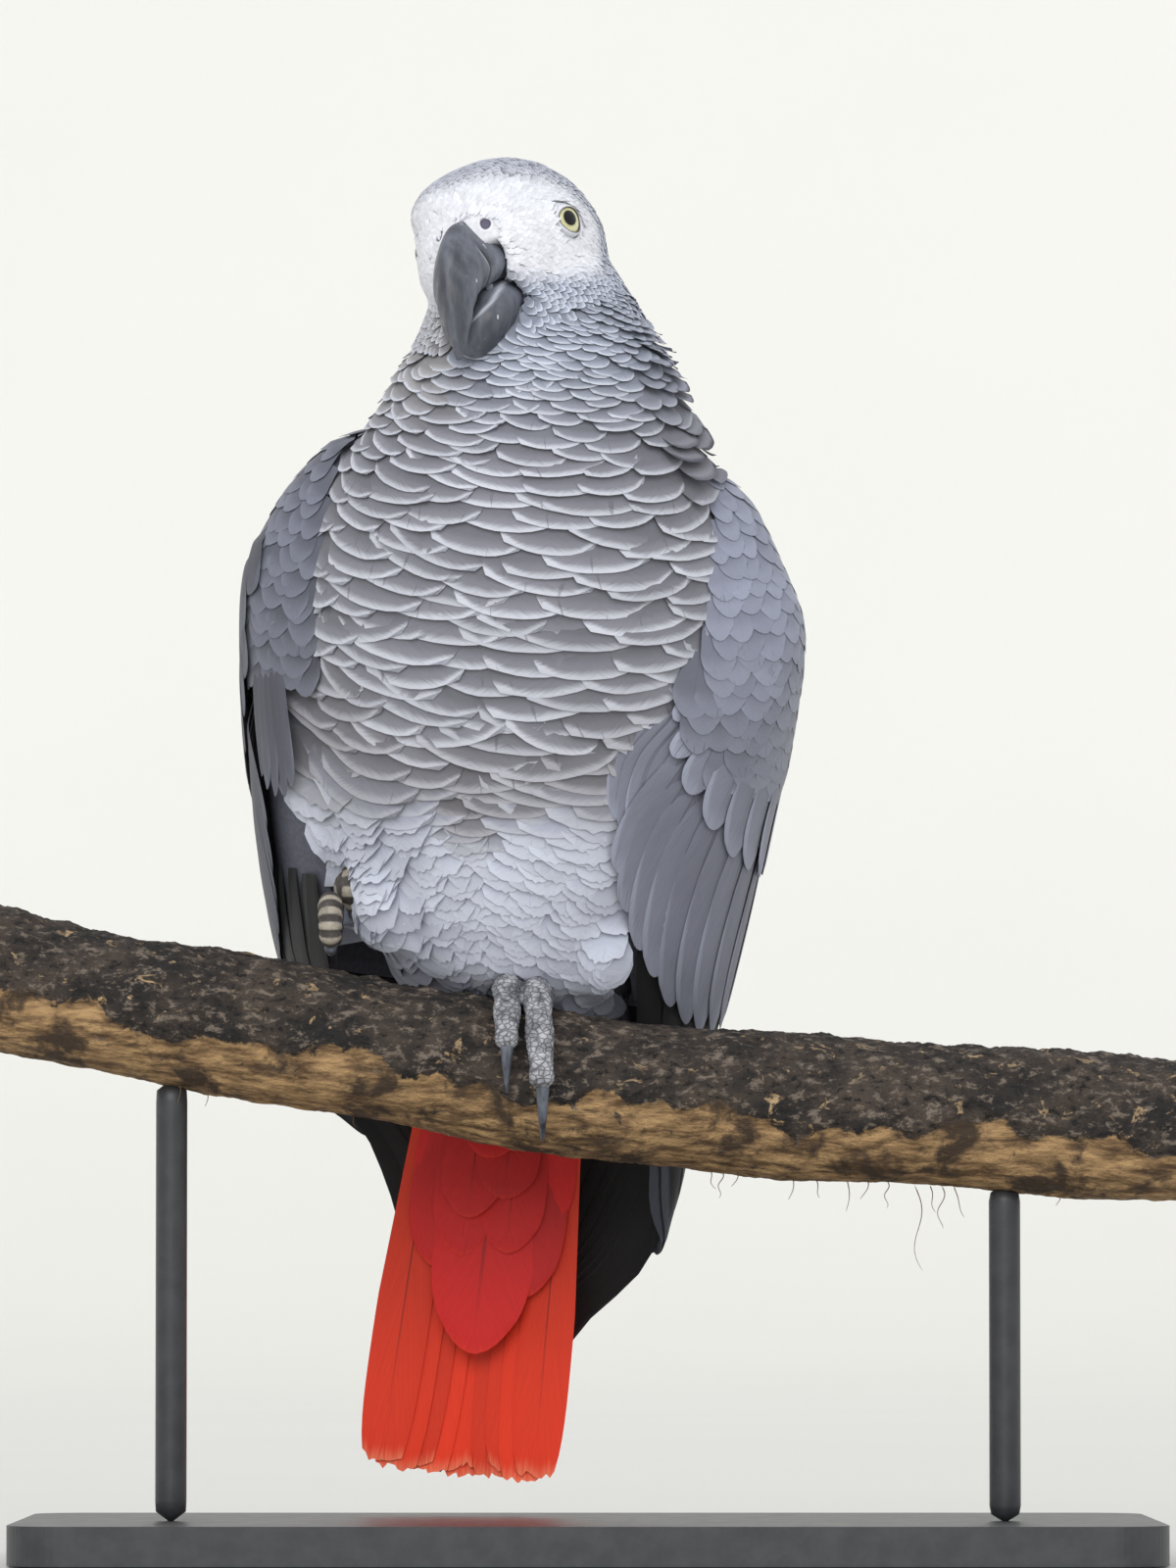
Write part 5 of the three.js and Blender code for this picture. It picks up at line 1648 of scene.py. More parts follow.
def eyeball_finish(side):
    """Black pupil, pale yellow iris with fine rays, dark rim and a wet gloss."""
    made = Shader(f"eye {side}", Roughness=0.2, Coat_Weight=0.3, Coat_Roughness=0.03, Specular_IOR_Level=0.3)
    centre = HEAD.out(EYE_AT * (SIDES[side], 1, 1))
    axis = HEAD.turn(unit(np.array([SIDES[side] * math.cos(GAZE_TURN), -math.sin(GAZE_TURN), GAZE_UP])))
    place = made.add("VectorMath", {0: made.place(), 1: tuple(centre)}, operation="SUBTRACT").outputs[0]
    outward = made.add("VectorMath", {0: place}, operation="NORMALIZE").outputs[0]
    toward = made.add("VectorMath", {0: outward, 1: tuple(axis)}, operation="DOT_PRODUCT").outputs["Value"]
    angle = made.calc("ARCCOSINE", made.calc("MINIMUM", toward, 1.0))
    iris = made.fade(made.grain(place, 1500.0, 3.0, 0.6), 0.3, 0.7, (220, 216, 156), (244, 240, 202))
    inner = made.fade(angle, PUPIL_ANGLE, PUPIL_ANGLE + 0.16, (188, 186, 142), iris)
    outer = made.fade(angle, IRIS_ANGLE - 0.1, IRIS_ANGLE, inner, (70, 66, 50))
    rim = made.fade(angle, IRIS_ANGLE, IRIS_ANGLE + 0.05, outer, (26, 24, 26))
    made.colour(made.fade(angle, PUPIL_ANGLE - 0.02, PUPIL_ANGLE + 0.02, (6, 6, 8), rim))
    return made.material


def eyeball_ring(side):
    """The rings of an eyeball, as a function for loft."""
    axis = eye_axis(side)
    back = np.cross(UP, axis)

    def at(t, turn):
        polar = np.clip(t, 0.004, 0.996) * math.pi
        around = back * np.cos(turn)[..., None] + UP * np.sin(turn)[..., None]
        ball = axis * np.cos(polar)[..., None] + around * np.sin(polar)[..., None]
        return EYE_AT * (side, 1, 1) + EYE_RADIUS * ball

    return at


def lid_ring(t, turn, side):
    """The outer face of the eyelids, from the rim of the opening out to the face."""
    axis = eye_axis(side)
    back = np.cross(UP, axis) * side
    tall = np.sin(turn) * 0.82
    open_half = LID_OPENING * np.stack([np.cos(turn) * 1.04 - LID_LEAN * tall, tall], -1)
    flat = open_half * mix(1.0, LID_REACH / LID_OPENING, t)[..., None]
    distance = np.linalg.norm(flat, axis=-1)
    # The lid rides just over the eyeball, then falls to the face.
    ball = np.sqrt(np.maximum((EYE_RADIUS + 0.35) ** 2 - distance**2, 0))
    height = mix(ball, 2.7 - 1.9 * t, ramp(0.12, 0.55, t)) + 0.35 * bell(t, 0.16, 0.13)
    height = height - 1.6 * ramp(0.72, 1, t)
    height = height + 0.1 * np.sin(t * 40) * ramp(0.1, 0.3, t) * ramp(0.9, 0.5, t)
    # It never falls under the eyeball.
    near = EYE_RADIUS + 0.15
    over = np.sqrt(np.maximum(near**2 - distance**2, 0))
    height = np.maximum(height, np.where(distance < near, over, -9.0))
    return EYE_AT * (side, 1, 1) + back * flat[..., :1] + UP * flat[..., 1:] + axis * height[..., None]


def bare_skin(name, size, low, high, marked, mark, relief, **uniform):
    """Bare, fine-grained, chalky skin, with another colour where an attribute marks it."""
    made = Shader(name, **uniform)
    fine = made.grain(made.place(), size, 3.0, 0.6)
    made.colour(made.blend(made.attribute(marked), made.fade(fine, 0.3, 0.7, low, high), mark))
    made.bump(fine, relief, 0.3)
    return made.material


class PARROT_OT_eyes(bpy.types.Operator):
    """Eyeballs and the bare eyelids round them"""

    bl_idname = "parrot.eyes"
    bl_label = "Eyes"

    def execute(self, context):
        skin = bare_skin(
            "bare face skin", 1400.0, (222, 224, 230), (238, 239, 243), "rim", (96, 92, 88), 0.5,
            Roughness=0.6, Subsurface_Weight=0.05)
        for name, side in SIDES.items():
            piece = loft(f"eyeball_{name}", eyeball_ring(side), 40, 48)
            finish_piece(piece, "eye", f"eye_{name}", material=eyeball_finish(name))
            self.eyelid(name, side, skin)
        return {"FINISHED"}

    def eyelid(self, name, side, skin):
        """A closed ring: the lid's outer face, turned in at the opening and closed behind."""
        t, turn = ring_grid(LID_ROWS, LID_COLUMNS)
        outer = lid_ring(t, turn, side)
        inner = outer - eye_axis(side) * (LID_WALL + 2.2 * ramp(0.3, 1, t))[..., None]
        points = HEAD.out(np.concatenate([outer, inner[::-1]]))
        faces = ring_faces(2 * LID_ROWS, LID_COLUMNS, closed=True)
        piece = face_outwards(mesh_object(f"eyelid_{name}", points, faces))
        # The lid's margin at the opening is dark, and its inner face, turned in towards the eyeball, is
        # darkened as painted shade in the gap.
        store(piece.data, "rim", np.concatenate([ramp(0.1, 0.02, t), ramp(0.5, 0.2, t)[::-1]]).ravel())
        finish_piece(piece, "face", "head", material=skin)


def cere_ring(t, turn):
    """The bare cere, a soft saddle over the bill's root that carries the nostrils."""
    forward = mix(8.0, 18.9, t)
    closing = np.clip((t - 0.72) / 0.28, 0, 1) ** 2
    up = np.cos(turn)
    side = mix(10.6, 9.2, ramp(0, 1, t)) * np.sqrt(np.clip(1 - closing, 0.02, 1)) * np.sin(turn)
    tall = mix(8.6, 7.4, t) * np.sqrt(np.clip(1 - closing * 0.8, 0.05, 1))
    height = -4.2 + tall * np.sign(up) * np.abs(up) ** 0.85
    dip = 0.9 * bell(side, 0, 2.2) * ramp(0, 1, up) * ramp(0.2, 0.8, t)
    # Below, the cere draws in, so that the bill's plate at the gape lies bare.
    side = side * (1 - 0.4 * ramp(-3.5, -6, height) * ramp(8.5, 12, forward))
    points = np.stack([side, -forward, height - dip], -1)
    # Each nostril is a round pit with a low swollen rim.
    for left_right in SIDES.values():
        gap, into = nostril_gap(points, left_right)
        push = NOSTRIL_DEPTH * ramp(NOSTRIL_RADIUS * 1.1, NOSTRIL_RADIUS * 0.7, gap)
        points = points + into * (push - 0.3 * bell(gap, 2.0, 0.5))[..., None]
    return to_right(points)


def nostril_gap(points, side):
    """How far points lie from the axis of a nostril, and that axis, pointing inwards."""
    centre = NOSTRIL_AT * (side, 1, 1)
    into = unit(NOSTRIL_INTO - centre)
    off = points - centre
    along = np.sum(off * into, -1, keepdims=True)
    gap = np.linalg.norm((off - along * into) * np.array([1.1, 1, 0.76]), axis=-1)
    return gap + 9 * (np.abs(along[..., 0]) > 6), into


def pit_gap(spot):
    """How far points lie from the nearest nostril's axis."""
    straight = to_right(spot * (-1, 1, 1)) * (-1, 1, 1)  # mirrored twice, the turn is undone
    return np.minimum(*(nostril_gap(straight, side)[0] for side in SIDES.values()))


class PARROT_OT_cere(bpy.types.Operator):
    """The cere over the bill's root with its two nostrils"""

    bl_idname = "parrot.cere"
    bl_label = "Cere"

    def execute(self, context):
        piece = loft("cere", cere_ring, 110, 190)
        gap = pit_gap(HEAD.into(points_of(piece.data)))
        # Painted shade: the shallow nostril pits are coloured dark, so that they read as deep holes.
        store(piece.data, "pit", ramp(NOSTRIL_RADIUS * 1.08, NOSTRIL_RADIUS * 0.9, gap))
        skin = bare_skin(
            "cere", 1100.0, (224, 225, 229), (238, 238, 242), "pit", (94, 91, 110), 0.45, Roughness=0.62)
        finish_piece(piece, "face", "head", material=skin)
        return {"FINISHED"}


# ---------- feet, perch and stand, in the model's own millimetres ----------
BRANCH_LINE = smooth_table([
    (-156, 149), (-112, 139), (-75, 132.5), (-12, 121.7), (38, 115.5), (100, 111.5), (156, 108.6),
])
BRANCH_ENDS = (-156, 156)
BRANCH_RADIUS = 18.6
BRANCH_Y = -15
BRANCH_ROWS, BRANCH_COLUMNS, END_ROWS = 430, 132, 9
FOOT_X = -17
# The gripping toes: sideways start and end, the degrees round the branch at which toe and claw end, and
# thickness. Side -1 is the front.
TOES = {
    "inner_front": {"from": -20.5, "to": -20.5, "end": 74, "claw": 104, "radius": (3.9, 3.0), "side": -1},
    "outer_front": {"from": -13.5, "to": -11.5, "end": 96, "claw": 140, "radius": (4.1, 3.1), "side": -1},
    "inner_back": {"from": -21, "to": -26, "end": 72, "claw": 104, "radius": (3.7, 2.8), "side": 1},
    "outer_back": {"from": -13, "to": -7, "end": 96, "claw": 132, "radius": (4.0, 3.0), "side": 1},
}
# The tucked foot: its middle, the C that each toe follows, and the degrees at which toe and claw end.
FIST_AT = np.array([-65.5, -15, 161])
FIST_HOLLOW, FIST_REACH, FIST_HEIGHT = 1.5, 5.6, 6.6
FIST_START, FIST_END, FIST_CLAW = 85, -48, -96
FIST_APART = 5.8
FIST_STAGGER = 9  # the inner toes are drawn back and up by this much
FIST_TOES = {"inner_front": (1, -1), "outer_front": (0, -1), "inner_back": (1, 1), "outer_back": (0, 1)}
SCALE_STEP = 1.5  # from one scale of the toes to the next
SCALES_ROUND = 11
SCUTE_STEP = 2.6  # from one plate of a tucked toe to the next
# Torn fibres: place along the branch and length.
FIBRES = (
    (-104, 5), (-97, 4), (31, 5), (34, 7), (38, 4), (52, 6), (58, 5), (66, 8), (71, 5), (76, 7), (83, 22),
    (87, 7), (90, 11), (93, 8), (-60, 3), (120, 4),
)
BASE = {"width": 290, "depth": 150, "height": 10, "corner": 14, "bevel": 1.5}
ROD_X = 106
ROD_RADIUS = 4


def round_branch(x, degrees, distance):
    """A point round the branch: degrees from its top towards the back."""
    angle = np.radians(degrees)
    x = x + 0 * angle
    return np.stack([x, BRANCH_Y + distance * np.sin(angle), BRANCH_LINE(x) + distance * np.cos(angle)], -1)


def limb(at, radius, steps, sides, relief=None):
    """A closed limb with round ends: relief(along in mm, angle) is added to its radius."""
    t = np.linspace(0, 1, steps)
    middle = at(t)
    ahead = unit(np.gradient(middle, axis=0))
    across = unit(np.cross(np.array([1, 0.13, 0.07]), ahead))
    up = np.cross(ahead, across)
    turn = np.arange(sides) * 2 * math.pi / sides
    length = np.concatenate([[0], np.cumsum(np.linalg.norm(np.diff(middle, axis=0), axis=1))])
    round_end = np.sqrt(np.clip(np.minimum(length, length[-1] - length) / radius(t), 0, 1))
    round_end = np.sqrt(1 - (1 - round_end**2) ** 2)
    size = np.maximum(radius(t) * round_end, 0.02)[:, None] * np.ones(sides)
    if relief:
        size = size + relief(length[:, None], turn[None]) * round_end[:, None]
    ring = across[:, None] * np.cos(turn)[:, None] + up[:, None] * np.sin(turn)[:, None]
    return bar(middle[:, None] + ring * size[..., None])


def capped(grid):
    """Points and faces of a body whose first and last ring are filled by one face each."""
    rows, columns = grid.shape[:2]
    first, last = range(columns), range((rows - 1) * columns, rows * columns)
    return grid.reshape(-1, 3), [*ring_faces(rows, columns).tolist(), list(first)[::-1], list(last)]


def scales(along, angle):
    """Rounded scales in staggered rows round a toe."""
    row = np.floor(along / SCALE_STEP)
    a = along / SCALE_STEP - row - 0.5
    b = angle / (2 * math.pi) * SCALES_ROUND + 0.5 * (row % 2)
    b = b - np.floor(b) - 0.5
    return 0.34 * np.clip(1 - 3.4 * (a * a + b * b), -0.1, 1)


def scutes(along, _):
    """Broad plates across a tucked toe, the same at every angle."""
    a = along / SCUTE_STEP - np.floor(along / SCUTE_STEP) - 0.5
    return 0.6 * (1 - 4 * a * a) ** 0.5 - 0.35


def fused(name, parts, grid):
    """Several closed bodies, in millimetres, fused into one even mesh."""
    points, faces = joined(parts)
    piece = mesh_object(name, PLAIN.out(points), faces)
    even_grid(piece, grid * MM, 0.5, 2)
    return piece


def egg(middle, radii, rows=20, columns=28):
    """A closed ball, stretched to three radii."""
    t, turn = ring_grid(rows, columns, 0.01, 0.99)
    polar = t * math.pi
    grid = np.stack([np.sin(polar) * np.cos(turn), np.sin(polar) * np.sin(turn), np.cos(polar)], -1)
    points, faces = capped(np.asarray(middle) + grid * np.asarray(radii))
    return points, [[face[0], *face[:0:-1]] for face in faces]


def straight(start, way):
    """A straight line, as a function of 0 to 1."""
    return lambda t: start + np.outer(t, way)


def toe_line(size):
    """The line of a gripping toe."""

    def at(t):
        away = BRANCH_RADIUS + mix(*size["radius"], t) + 1
        return round_branch(mix(size["from"], size["to"], t), size["side"] * mix(-6, size["end"], t), away)

    return at


def gripping_claw_line(size):
    """The line of a gripping toe's claw."""

    def at(t):
        away = BRANCH_RADIUS + mix(size["radius"][1] + 1, 1.5, t) + 0.5 * np.sin(t * math.pi)
        return round_branch(size["to"] + 0 * t, size["side"] * mix(size["end"] - 8, size["claw"], t), away)

    return at


def fist_line(column, side, start, end):
    """The line of a tucked toe or its claw, on a C between two angles in degrees."""

    def at(t):
        angle = np.radians(mix(start, end, t))
        return np.stack([
            FIST_AT[0] + column * FIST_APART + 0 * angle,
            FIST_AT[1] + column * FIST_STAGGER + side * (FIST_HOLLOW + FIST_REACH * np.cos(angle)),
            FIST_AT[2] + column * FIST_STAGGER + FIST_HEIGHT * np.sin(angle),
        ], -1)

    return at


def foot_finish(banded):
    """Grey scaled skin with pale, dusty scale tops and dark creases, or with pale bands on skin darkened as
    painted shade, for the tucked foot.
    """
    made = Shader("banded foot skin" if banded else "scaled foot skin", Roughness=0.62)
    cells = made.add(
        "TexVoronoi", {"Vector": made.place((1, 1, 1.5)), "Scale": 560.0, "Randomness": 0.85},
        feature="DISTANCE_TO_EDGE").outputs["Distance"]
    cloud = made.grain(made.place(), 260.0, 4.0, 0.6)
    if banded:
        crease = made.smooth(cells, 0.01, 0.08, 0.75, 1.0)
        # Painted shade: the tucked foot's skin is much darker than the gripping foot's, as the shade it lies
        # in under the belly; the pale bands are its scutes.
        body = made.blend(made.attribute("band"), (62, 57, 54), (176, 167, 152))
        body = made.blend(made.smooth(cloud, 0.4, 0.7, 0.0, 0.5), body, (108, 100, 92))
    else:
        crease = made.smooth(cells, 0.02, 0.16)
        body = made.fade(cloud, 0.3, 0.7, (112, 112, 117), (196, 197, 202))
    made.colour(made.blend(crease, made.dim(body, np.array([0.4, 0.39, 0.4])), body))
    made.bump(made.plus(crease, made.times(cloud, 0.5)), 0.6, 0.3)
    return made.material


def fist_bands(points):
    """The pale bands across the plates of the tucked toes, at points in metres."""
    off = points / MM - FIST_AT
    off = off - (off[:, :1] > FIST_APART / 2) * np.array([0, FIST_STAGGER, FIST_STAGGER])
    around = np.arctan2(off[:, 2] / FIST_HEIGHT, (np.abs(off[:, 1]) - FIST_HOLLOW) / FIST_REACH)
    plates = (math.radians(FIST_START) - around) * (FIST_HEIGHT + FIST_REACH) / 2 / SCUTE_STEP
    return ramp(-0.3, 0.4, -np.cos(plates * 2 * math.pi)) * ramp(FIST_HEIGHT + 5, FIST_HEIGHT + 3, off[:, 2])


class PARROT_OT_feet(bpy.types.Operator):
    """The gripping foot, the tucked foot and their claws"""

    bl_idname = "parrot.feet"
    bl_label = "Feet"

    def execute(self, context):
        parts = [
            egg(round_branch(FOOT_X, 0.0, BRANCH_RADIUS + 4.2), (8, 6.5, 3.6)),
            limb(
                straight(round_branch(FOOT_X, 0.0, BRANCH_RADIUS + 4.6), (3, 10, 24)),
                lambda t: mix(5.4, 4.2, t), 60, 30, scales),
        ]
        for size in TOES.values():
            parts.append(limb(
                toe_line(size),
                lambda t, ends=size["radius"]: mix(*ends, t) * (1 + 0.07 * np.cos(t * 6 * math.pi)) - 0.15,
                130, 44, scales))
        foot = fused("foot_gripping", parts, 0.42)
        finish_piece(foot, "foot_skin", "foot_left", material=foot_finish(False))
        slate = claw_finish()
        for name, size in TOES.items():
            self.claw(f"claw_left_{name}", gripping_claw_line(size), slate)
        shank = straight(FIST_AT + (2.5, 0, FIST_HEIGHT), (9, 3, 11))
        parts = [limb(shank, lambda t: 4.6 + 0 * t, 40, 28, scales)]
        for toe in FIST_TOES.values():
            parts.append(limb(
                fist_line(*toe, FIST_START, FIST_END), lambda t: mix(3.3, 2.5, t), 70, 28, scutes))
        fist = fused("foot_tucked", parts, 0.4)
        store(fist.data, "band", fist_bands(points_of(fist.data)))
        finish_piece(fist, "foot_skin", "foot_right", material=foot_finish(True))
        for name, toe in FIST_TOES.items():
            self.claw(f"claw_right_{name}", fist_line(*toe, FIST_END + 4, FIST_CLAW), slate)
        return {"FINISHED"}

    def claw(self, name, at, material):
        points, faces = limb(at, lambda t: mix(2.1, 0.35, t**0.9), 36, 20)
        piece = face_outwards(mesh_object(f"{name}_horn", PLAIN.out(points), faces))
        finish_piece(piece, "claw", name, material=material)


def bare_wood(x, degrees):
    """How far the bark is gone: the underside is worn to the wood, in a ragged line."""
    low = np.abs((degrees - 205 + 180) % 360 - 180)
    edge = 54 + 7 * np.sin(x / 13) + 5 * np.sin(x / 5.1 + 1) + 3 * np.sin(x / 2.3)
    return ramp(edge + 6, edge - 6, low)


class PARROT_OT_perch(bpy.types.Operator):
    """The cut branch with its bark, worn underside, loose fibres and sawn ends"""

    bl_idname = "parrot.perch"
    bl_label = "Perch"

    def execute(self, context):
        start, end = BRANCH_ENDS
        closing = np.linspace(0.02, 1, END_ROWS)
        inset = np.concatenate([closing, np.ones(BRANCH_ROWS), closing[::-1]])[:, None]
        x = np.pad(np.linspace(start, end, BRANCH_ROWS), END_ROWS, "edge")
        x, turn = np.meshgrid(x, np.arange(BRANCH_COLUMNS) * 360 / BRANCH_COLUMNS, indexing="ij")
        angle = np.radians(90 - turn)
        lump = 0.5 * np.sin(x / 11 + 2 * angle) + 0.4 * np.sin(x / 23 - angle)
        bare = bare_wood(x, turn)
        place = np.stack([x, 18 * np.cos(angle), 18 * np.sin(angle)], -1)
        rough = 0.75 * noise(place, 0.55, 1) + 0.55 * noise(place * (0.5, 1, 1), 1.3, 2)
        rough = rough + 0.35 * noise(place, 2.4, 3)
        fibre = 0.3 * noise(place * (0.12, 1, 1), 2.2, 5) + 0.18 * noise(place * (0.1, 1, 1), 4.5, 6)
        size = BRANCH_RADIUS + lump + mix(0.25 + rough, -1.1 + fibre + 0.4 * rough, bare)
        grid = round_branch(x, turn, size * inset)
        sawn = ramp(1.0, 0.97, inset) + 0 * x
        grid[..., 0] += 0.25 * noise(place * (0, 2.5, 1.2), 2.0, 8) * sawn
        points, faces = capped(grid)
        piece = mesh_object("branch", PLAIN.out(points), faces)
        store(piece.data, "bare", bare.ravel())
        store(piece.data, "sawn", sawn.ravel())
        finish_piece(face_outwards(piece), "bark", "perch_branch", material=bark_finish())
        self.fibres()
        return {"FINISHED"}

    def fibres(self):
        """A few torn fibres hanging from the worn underside."""
        random = np.random.default_rng(sizes().seed + 70)
        parts = []
        for x, length in FIBRES:
            root = round_branch(x, 186.0 + random.uniform(-12, 12), BRANCH_RADIUS - 1.6)
            line = self.fibre(root, random.uniform(-0.5, 0.5, 2), random.uniform(1, 3), length)
            parts.append(limb(line, lambda t: mix(0.16, 0.07, t), 14, 6))
        points, faces = joined(parts)
        piece = face_outwards(mesh_object("bark_fibres", PLAIN.out(points), faces))
        made = Shader("torn fibre", Roughness=0.8)
        made.colour(made.blend(made.grain(made.place(), 300.0), (60, 48, 36), (150, 122, 86)))
        finish_piece(piece, "bark", material=made.material)

    def fibre(self, root, swing, curl, length):
        def at(t):
            sway = length * (swing[0] * t**2 + 0.08 * np.sin(t * curl * 3))
            return root + np.stack([sway, length * swing[1] * 0.4 * t**2, -length * t], -1)

        return at


def bark_finish():
    """Dark speckled bark over ochre wood, and pale sawn ends."""
    made = Shader("bark and worn wood", Roughness=0.85)
    cloud = made.grain(made.place(), 70.0, 5.0, 0.62, 0.3)
    speck = made.grain(made.place((0.6, 1, 1)), 420.0, 4.0, 0.7, 0.2)
    fleck = made.grain(made.place((0.75, 1, 1)), 190.0, 4.0, 0.7, 0.6)
    fibre = made.grain(made.place((0.22, 1, 1)), 420.0, 5.0, 0.65, 0.1)
    bark = made.fade(cloud, 0.35, 0.7, (30, 26, 24), (72, 61, 52))
    bark = made.fade(speck, 0.52, 0.66, bark, (118, 106, 94))
    bark = made.fade(fleck, 0.62, 0.69, bark, (196, 176, 142))
    bark = made.fade(speck, 0.45, 0.36, bark, (14, 12, 11))
    wood = made.fade(fibre, 0.32, 0.68, (86, 63, 40), (188, 152, 106))
    wood = made.fade(cloud, 0.48, 0.62, wood, (66, 51, 37))
    edge = made.plus(made.attribute("bare"), made.times(made.minus(fleck, 0.5), 3.2))
    colour = made.fade(edge, 0.3, 0.75, bark, wood)
    cut = made.blend(made.grain(made.place(), 500.0, 3.0), (170, 136, 92), (206, 176, 130))
    made.colour(made.blend(made.attribute("sawn"), colour, cut))
    made.bump(made.plus(made.times(speck, 1.4), made.plus(fibre, made.times(fleck, 1.5))), 0.8, 0.9)
    return made.material


class PARROT_OT_stand(bpy.types.Operator):
    """The plain display stand: a flat base and two rods"""

    bl_idname = "parrot.stand"
    bl_label = "Display stand"

    def execute(self, context):
        made = Shader("satin stand paint", Coat_Weight=0.15, Coat_Roughness=0.3)
        dust = made.grain(made.place(), 160.0, 4.0, 0.6)
        made.colour(made.fade(dust, 0.3, 0.75, (46, 47, 50), (60, 61, 64)))
        made.rough(made.smooth(dust, 0.3, 0.7, 0.42, 0.5))
        made.bump(made.grain(made.place(), 900.0), 0.12, 0.2)
        finish_piece(self.base(), "stand", "stand_base", material=made.material)
        for name, side in SIDES.items():
            x = -side * ROD_X
            foot, head = BASE["height"] - 0.5, float(BRANCH_LINE(x)) - BRANCH_RADIUS + 3
            line = straight((x, BRANCH_Y, foot), (0, 0, head - foot))
            points, faces = limb(line, lambda t: ROD_RADIUS + 0 * t, 40, 40)
            rod = face_outwards(mesh_object(f"rod_{name}", PLAIN.out(points), faces))
            finish_piece(rod, "stand", f"stand_rod_{name}", material=made.material)
        return {"FINISHED"}

    def base(self):
        """A flat plate with round corners and a bevelled upper edge."""
        work = bmesh.new()
        wide, deep = BASE["width"] / 2 - BASE["corner"], BASE["depth"] / 2 - BASE["corner"]
        outline = []
        for k, (x, y) in enumerate(((wide, deep), (-wide, deep), (-wide, -deep), (wide, -deep))):
            for degrees in np.linspace(90 * k, 90 * k + 90, 13):
                angle = math.radians(degrees)
                outline.append((x + BASE["corner"] * math.cos(angle), y + BASE["corner"] * math.sin(angle)))
        bottom = [work.verts.new((x * MM, y * MM, 0)) for x, y in outline]
        top = [work.verts.new((x * MM, y * MM, BASE["height"] * MM)) for x, y in outline]
        work.faces.new(bottom[::-1])
        cover = work.faces.new(top)
        for k in range(len(outline)):
            n = (k + 1) % len(outline)
            work.faces.new((bottom[k], bottom[n], top[n], top[k]))
        bmesh.ops.bevel(
            work, geom=list(cover.edges), offset=BASE["bevel"] * MM, segments=4, profile=0.5, affect="EDGES")
        mesh = bpy.data.meshes.new("base")
        work.to_mesh(mesh)
        work.free()
        return link(mesh, "base")


# ---------- stage ----------
CAMERA_TARGET = Vector((0, -0.015, 0.1975))
SENSOR = 36.0  # long side, in millimetres
KEY_FROM = (-0.12, -1.0, 0.62)  # the way to the key light
SKY_TINT = (0.95, 0.97, 1.0, 1)
# The backdrop in metres: how far the floor reaches, how wide it turns up, and the wall's height.
FLOOR_REACH, FLOOR_BEND, WALL_HEIGHT = 6.0, 2.0, 4.0
FLOOR_DROP = 0.0004  # the floor lies this much under the stand
BEND_STEPS, FLOOR_SIDES = 10, 64


class StageSettings(bpy.types.PropertyGroup):
    """Camera, lights and floor."""

    camera_distance: bpy.props.FloatProperty(
        name="Camera distance", description="From the camera to the bird, in metres", default=2.45, min=0.5,
        max=10, unit="LENGTH")
    camera_tilt: bpy.props.FloatProperty(
        name="Camera tilt", description="How far the camera looks up, in degrees", default=3.0, min=-20,
        max=60)
    frame_height: bpy.props.FloatProperty(
        name="Frame height", description="Height of the picture at the bird, in metres", default=0.4,
        min=0.1, max=2, unit="LENGTH")
    key_strength: bpy.props.FloatProperty(
        name="Key light", description="Strength of the soft light from the front, in watts a square metre",
        default=1.5, min=0, max=20)
    key_softness: bpy.props.FloatProperty(
        name="Key softness", description="Apparent width of the key light", default=math.radians(45), min=0,
        max=math.radians(170), subtype="ANGLE")
    sky_strength: bpy.props.FloatProperty(
        name="Studio light", description="Strength of the even light from all sides", default=0.75, min=0,
        max=5)
    floor_colour: colour_of("floor", 228, 227, 222)


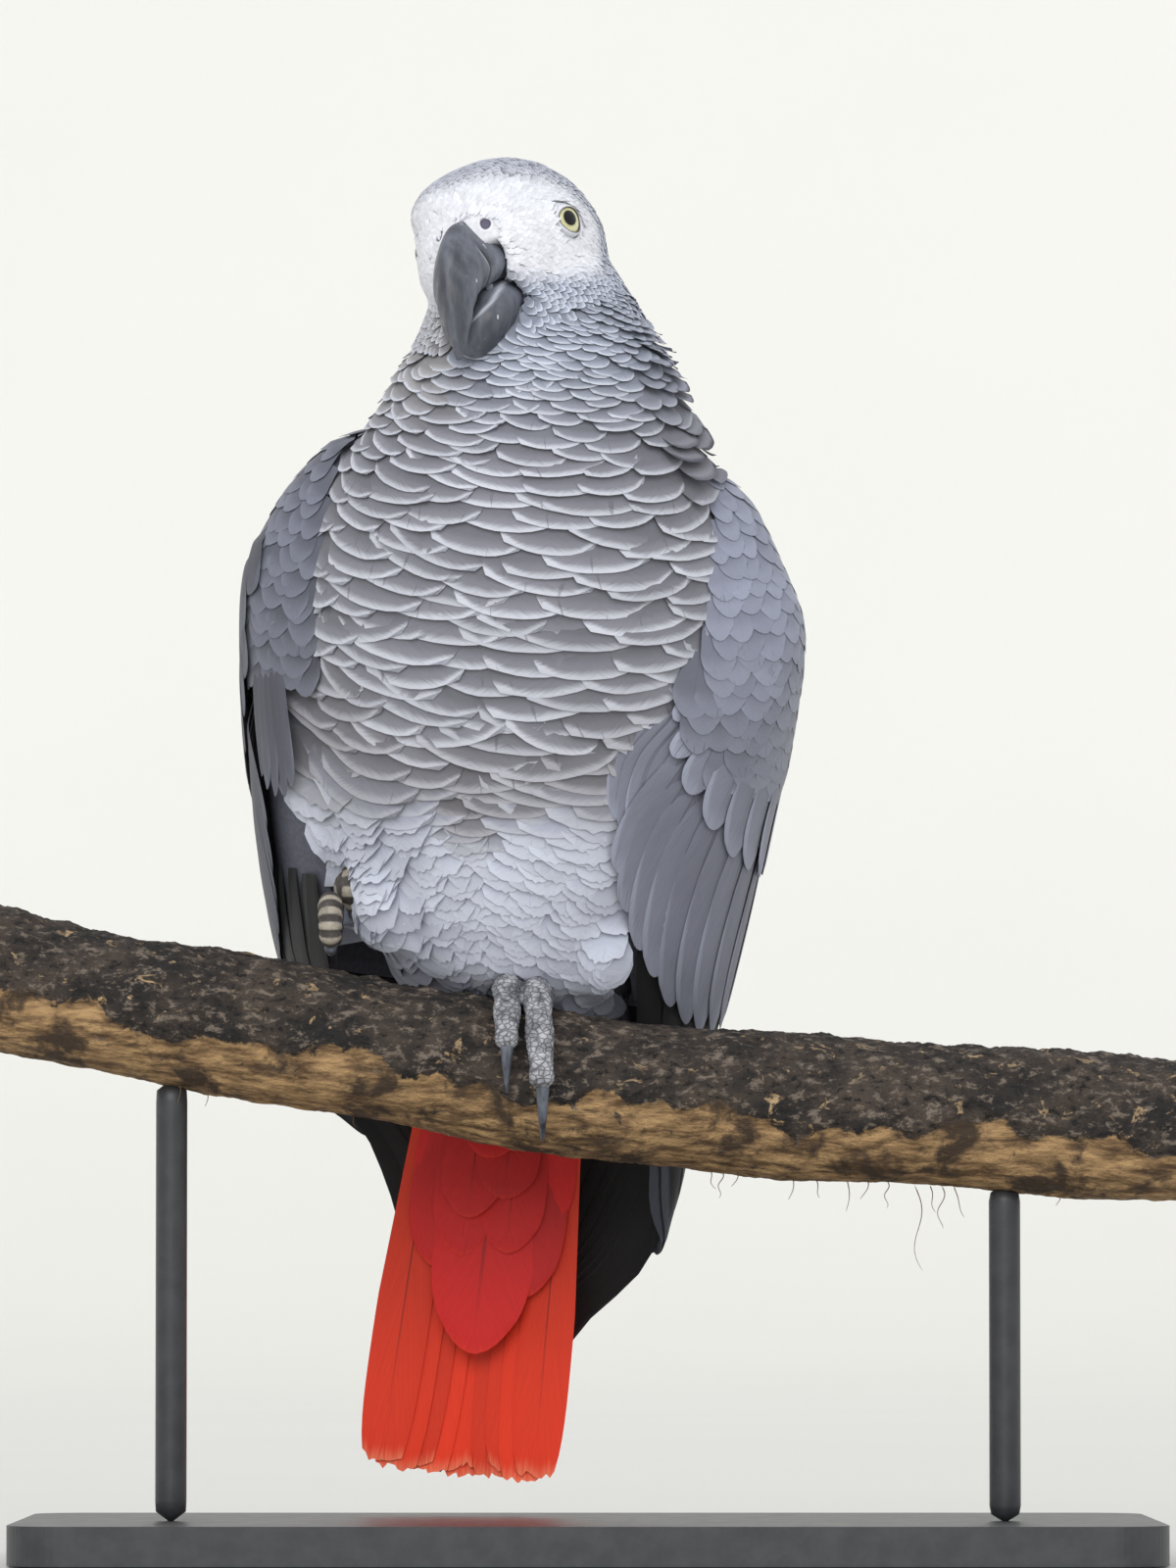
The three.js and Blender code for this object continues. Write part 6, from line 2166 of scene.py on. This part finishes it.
class PARROT_OT_stage(bpy.types.Operator):
    """Pale floor with a curved backdrop, soft lights and the camera"""

    bl_idname = "parrot.stage"
    bl_label = "Stage"

    def execute(self, context):
        scene = context.scene
        given = scene.parrot_stage
        data = bpy.data.cameras.new("camera")
        data.sensor_width = SENSOR
        data.lens = SENSOR * given.camera_distance / given.frame_height
        data.clip_end = 50
        scene.camera = link(data, "camera")
        tilt = math.radians(given.camera_tilt)
        back = Vector((0, -math.cos(tilt), -math.sin(tilt))) * given.camera_distance
        scene.camera.location = CAMERA_TARGET + back
        scene.camera.rotation_euler = (-back).to_track_quat("-Z", "Y").to_euler()
        light = bpy.data.lights.new("key", "SUN")
        light.energy = given.key_strength
        light.angle = given.key_softness
        link(light, "key").rotation_euler = Vector(KEY_FROM).to_track_quat("Z", "Y").to_euler()
        scene.world = bpy.data.worlds.new("studio")
        scene.world.use_nodes = True
        sky = scene.world.node_tree.nodes["Background"].inputs
        sky["Color"].default_value = SKY_TINT
        sky["Strength"].default_value = given.sky_strength
        scene.view_settings.view_transform = "Standard"
        self.backdrop(np.array(given.floor_colour))
        return {"FINISHED"}

    def backdrop(self, colour):
        """A round floor that turns up into a wall far behind the bird. It is open in front."""
        bend = np.linspace(0, math.pi / 2, BEND_STEPS + 1)
        radius = [*(FLOOR_REACH - FLOOR_BEND + FLOOR_BEND * np.sin(bend)), FLOOR_REACH]
        height = [*(FLOOR_BEND - FLOOR_BEND * np.cos(bend)), WALL_HEIGHT]
        turn = np.arange(FLOOR_SIDES) * 2 * math.pi / FLOOR_SIDES
        rings = [
            np.stack([wide * np.cos(turn), wide * np.sin(turn), up - FLOOR_DROP + 0 * turn], -1)
            for wide, up in zip(radius, height)
        ]
        index = np.arange(len(rings) * FLOOR_SIDES).reshape(len(rings), FLOOR_SIDES)
        faces = [range(FLOOR_SIDES), *quads(index[:, :FLOOR_SIDES // 2 + 1])[:, [0, 3, 2, 1]].tolist()]
        floor = mesh_object("floor", np.concatenate(rings), faces)
        made = Shader("matt floor", Roughness=0.95)
        made.colour(made.blend(made.grain(made.place(), 3.0, 3.0), colour * 0.96, colour))
        floor.data.materials.append(made.material)
        floor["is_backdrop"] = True


# ---------- panel and registration ----------
STEPS = (
    PARROT_OT_skin, PARROT_OT_trunk_coat, PARROT_OT_head_coat, PARROT_OT_wings, PARROT_OT_tail,
    PARROT_OT_bill, PARROT_OT_eyes, PARROT_OT_cere, PARROT_OT_feet, PARROT_OT_perch, PARROT_OT_stand,
    PARROT_OT_stage,
)
GROUPS = {"parrot_colours": PlumageColours, "parrot_sizes": PlumageSizes, "parrot_stage": StageSettings}


class PARROT_PT_panel(bpy.types.Panel):
    """Lists the steps and their settings"""

    bl_idname = "PARROT_PT_panel"
    bl_label = "Grey Parrot"
    bl_space_type = "VIEW_3D"
    bl_region_type = "UI"
    bl_category = "Parrot"

    def draw(self, context):
        for step in STEPS:
            self.layout.operator(step.bl_idname)
        for group in GROUPS:
            box = self.layout.box()
            values = getattr(context.scene, group)
            for key in values.__annotations__:
                box.prop(values, key)


def register():
    for kind in (*GROUPS.values(), *STEPS, PARROT_PT_panel):
        bpy.utils.register_class(kind)
    for name, group in GROUPS.items():
        setattr(bpy.types.Scene, name, bpy.props.PointerProperty(type=group))


def unregister():
    for name in GROUPS:
        delattr(bpy.types.Scene, name)
    for kind in (PARROT_PT_panel, *reversed(STEPS), *reversed(GROUPS.values())):
        bpy.utils.unregister_class(kind)


def main():
    register()
    for step in STEPS:
        section, name = step.bl_idname.split(".")
        getattr(getattr(bpy.ops, section), name)()
    for hidden in [made for made in bpy.data.objects if made.name.endswith("_form")]:
        bpy.data.objects.remove(hidden)
    boxes = {"cad": CAD_BOX, "visual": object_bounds()}
    {name: [list(map(float, corner)) for corner in box] for name, box in boxes.items()}


if __name__ == "__main__":
    main()
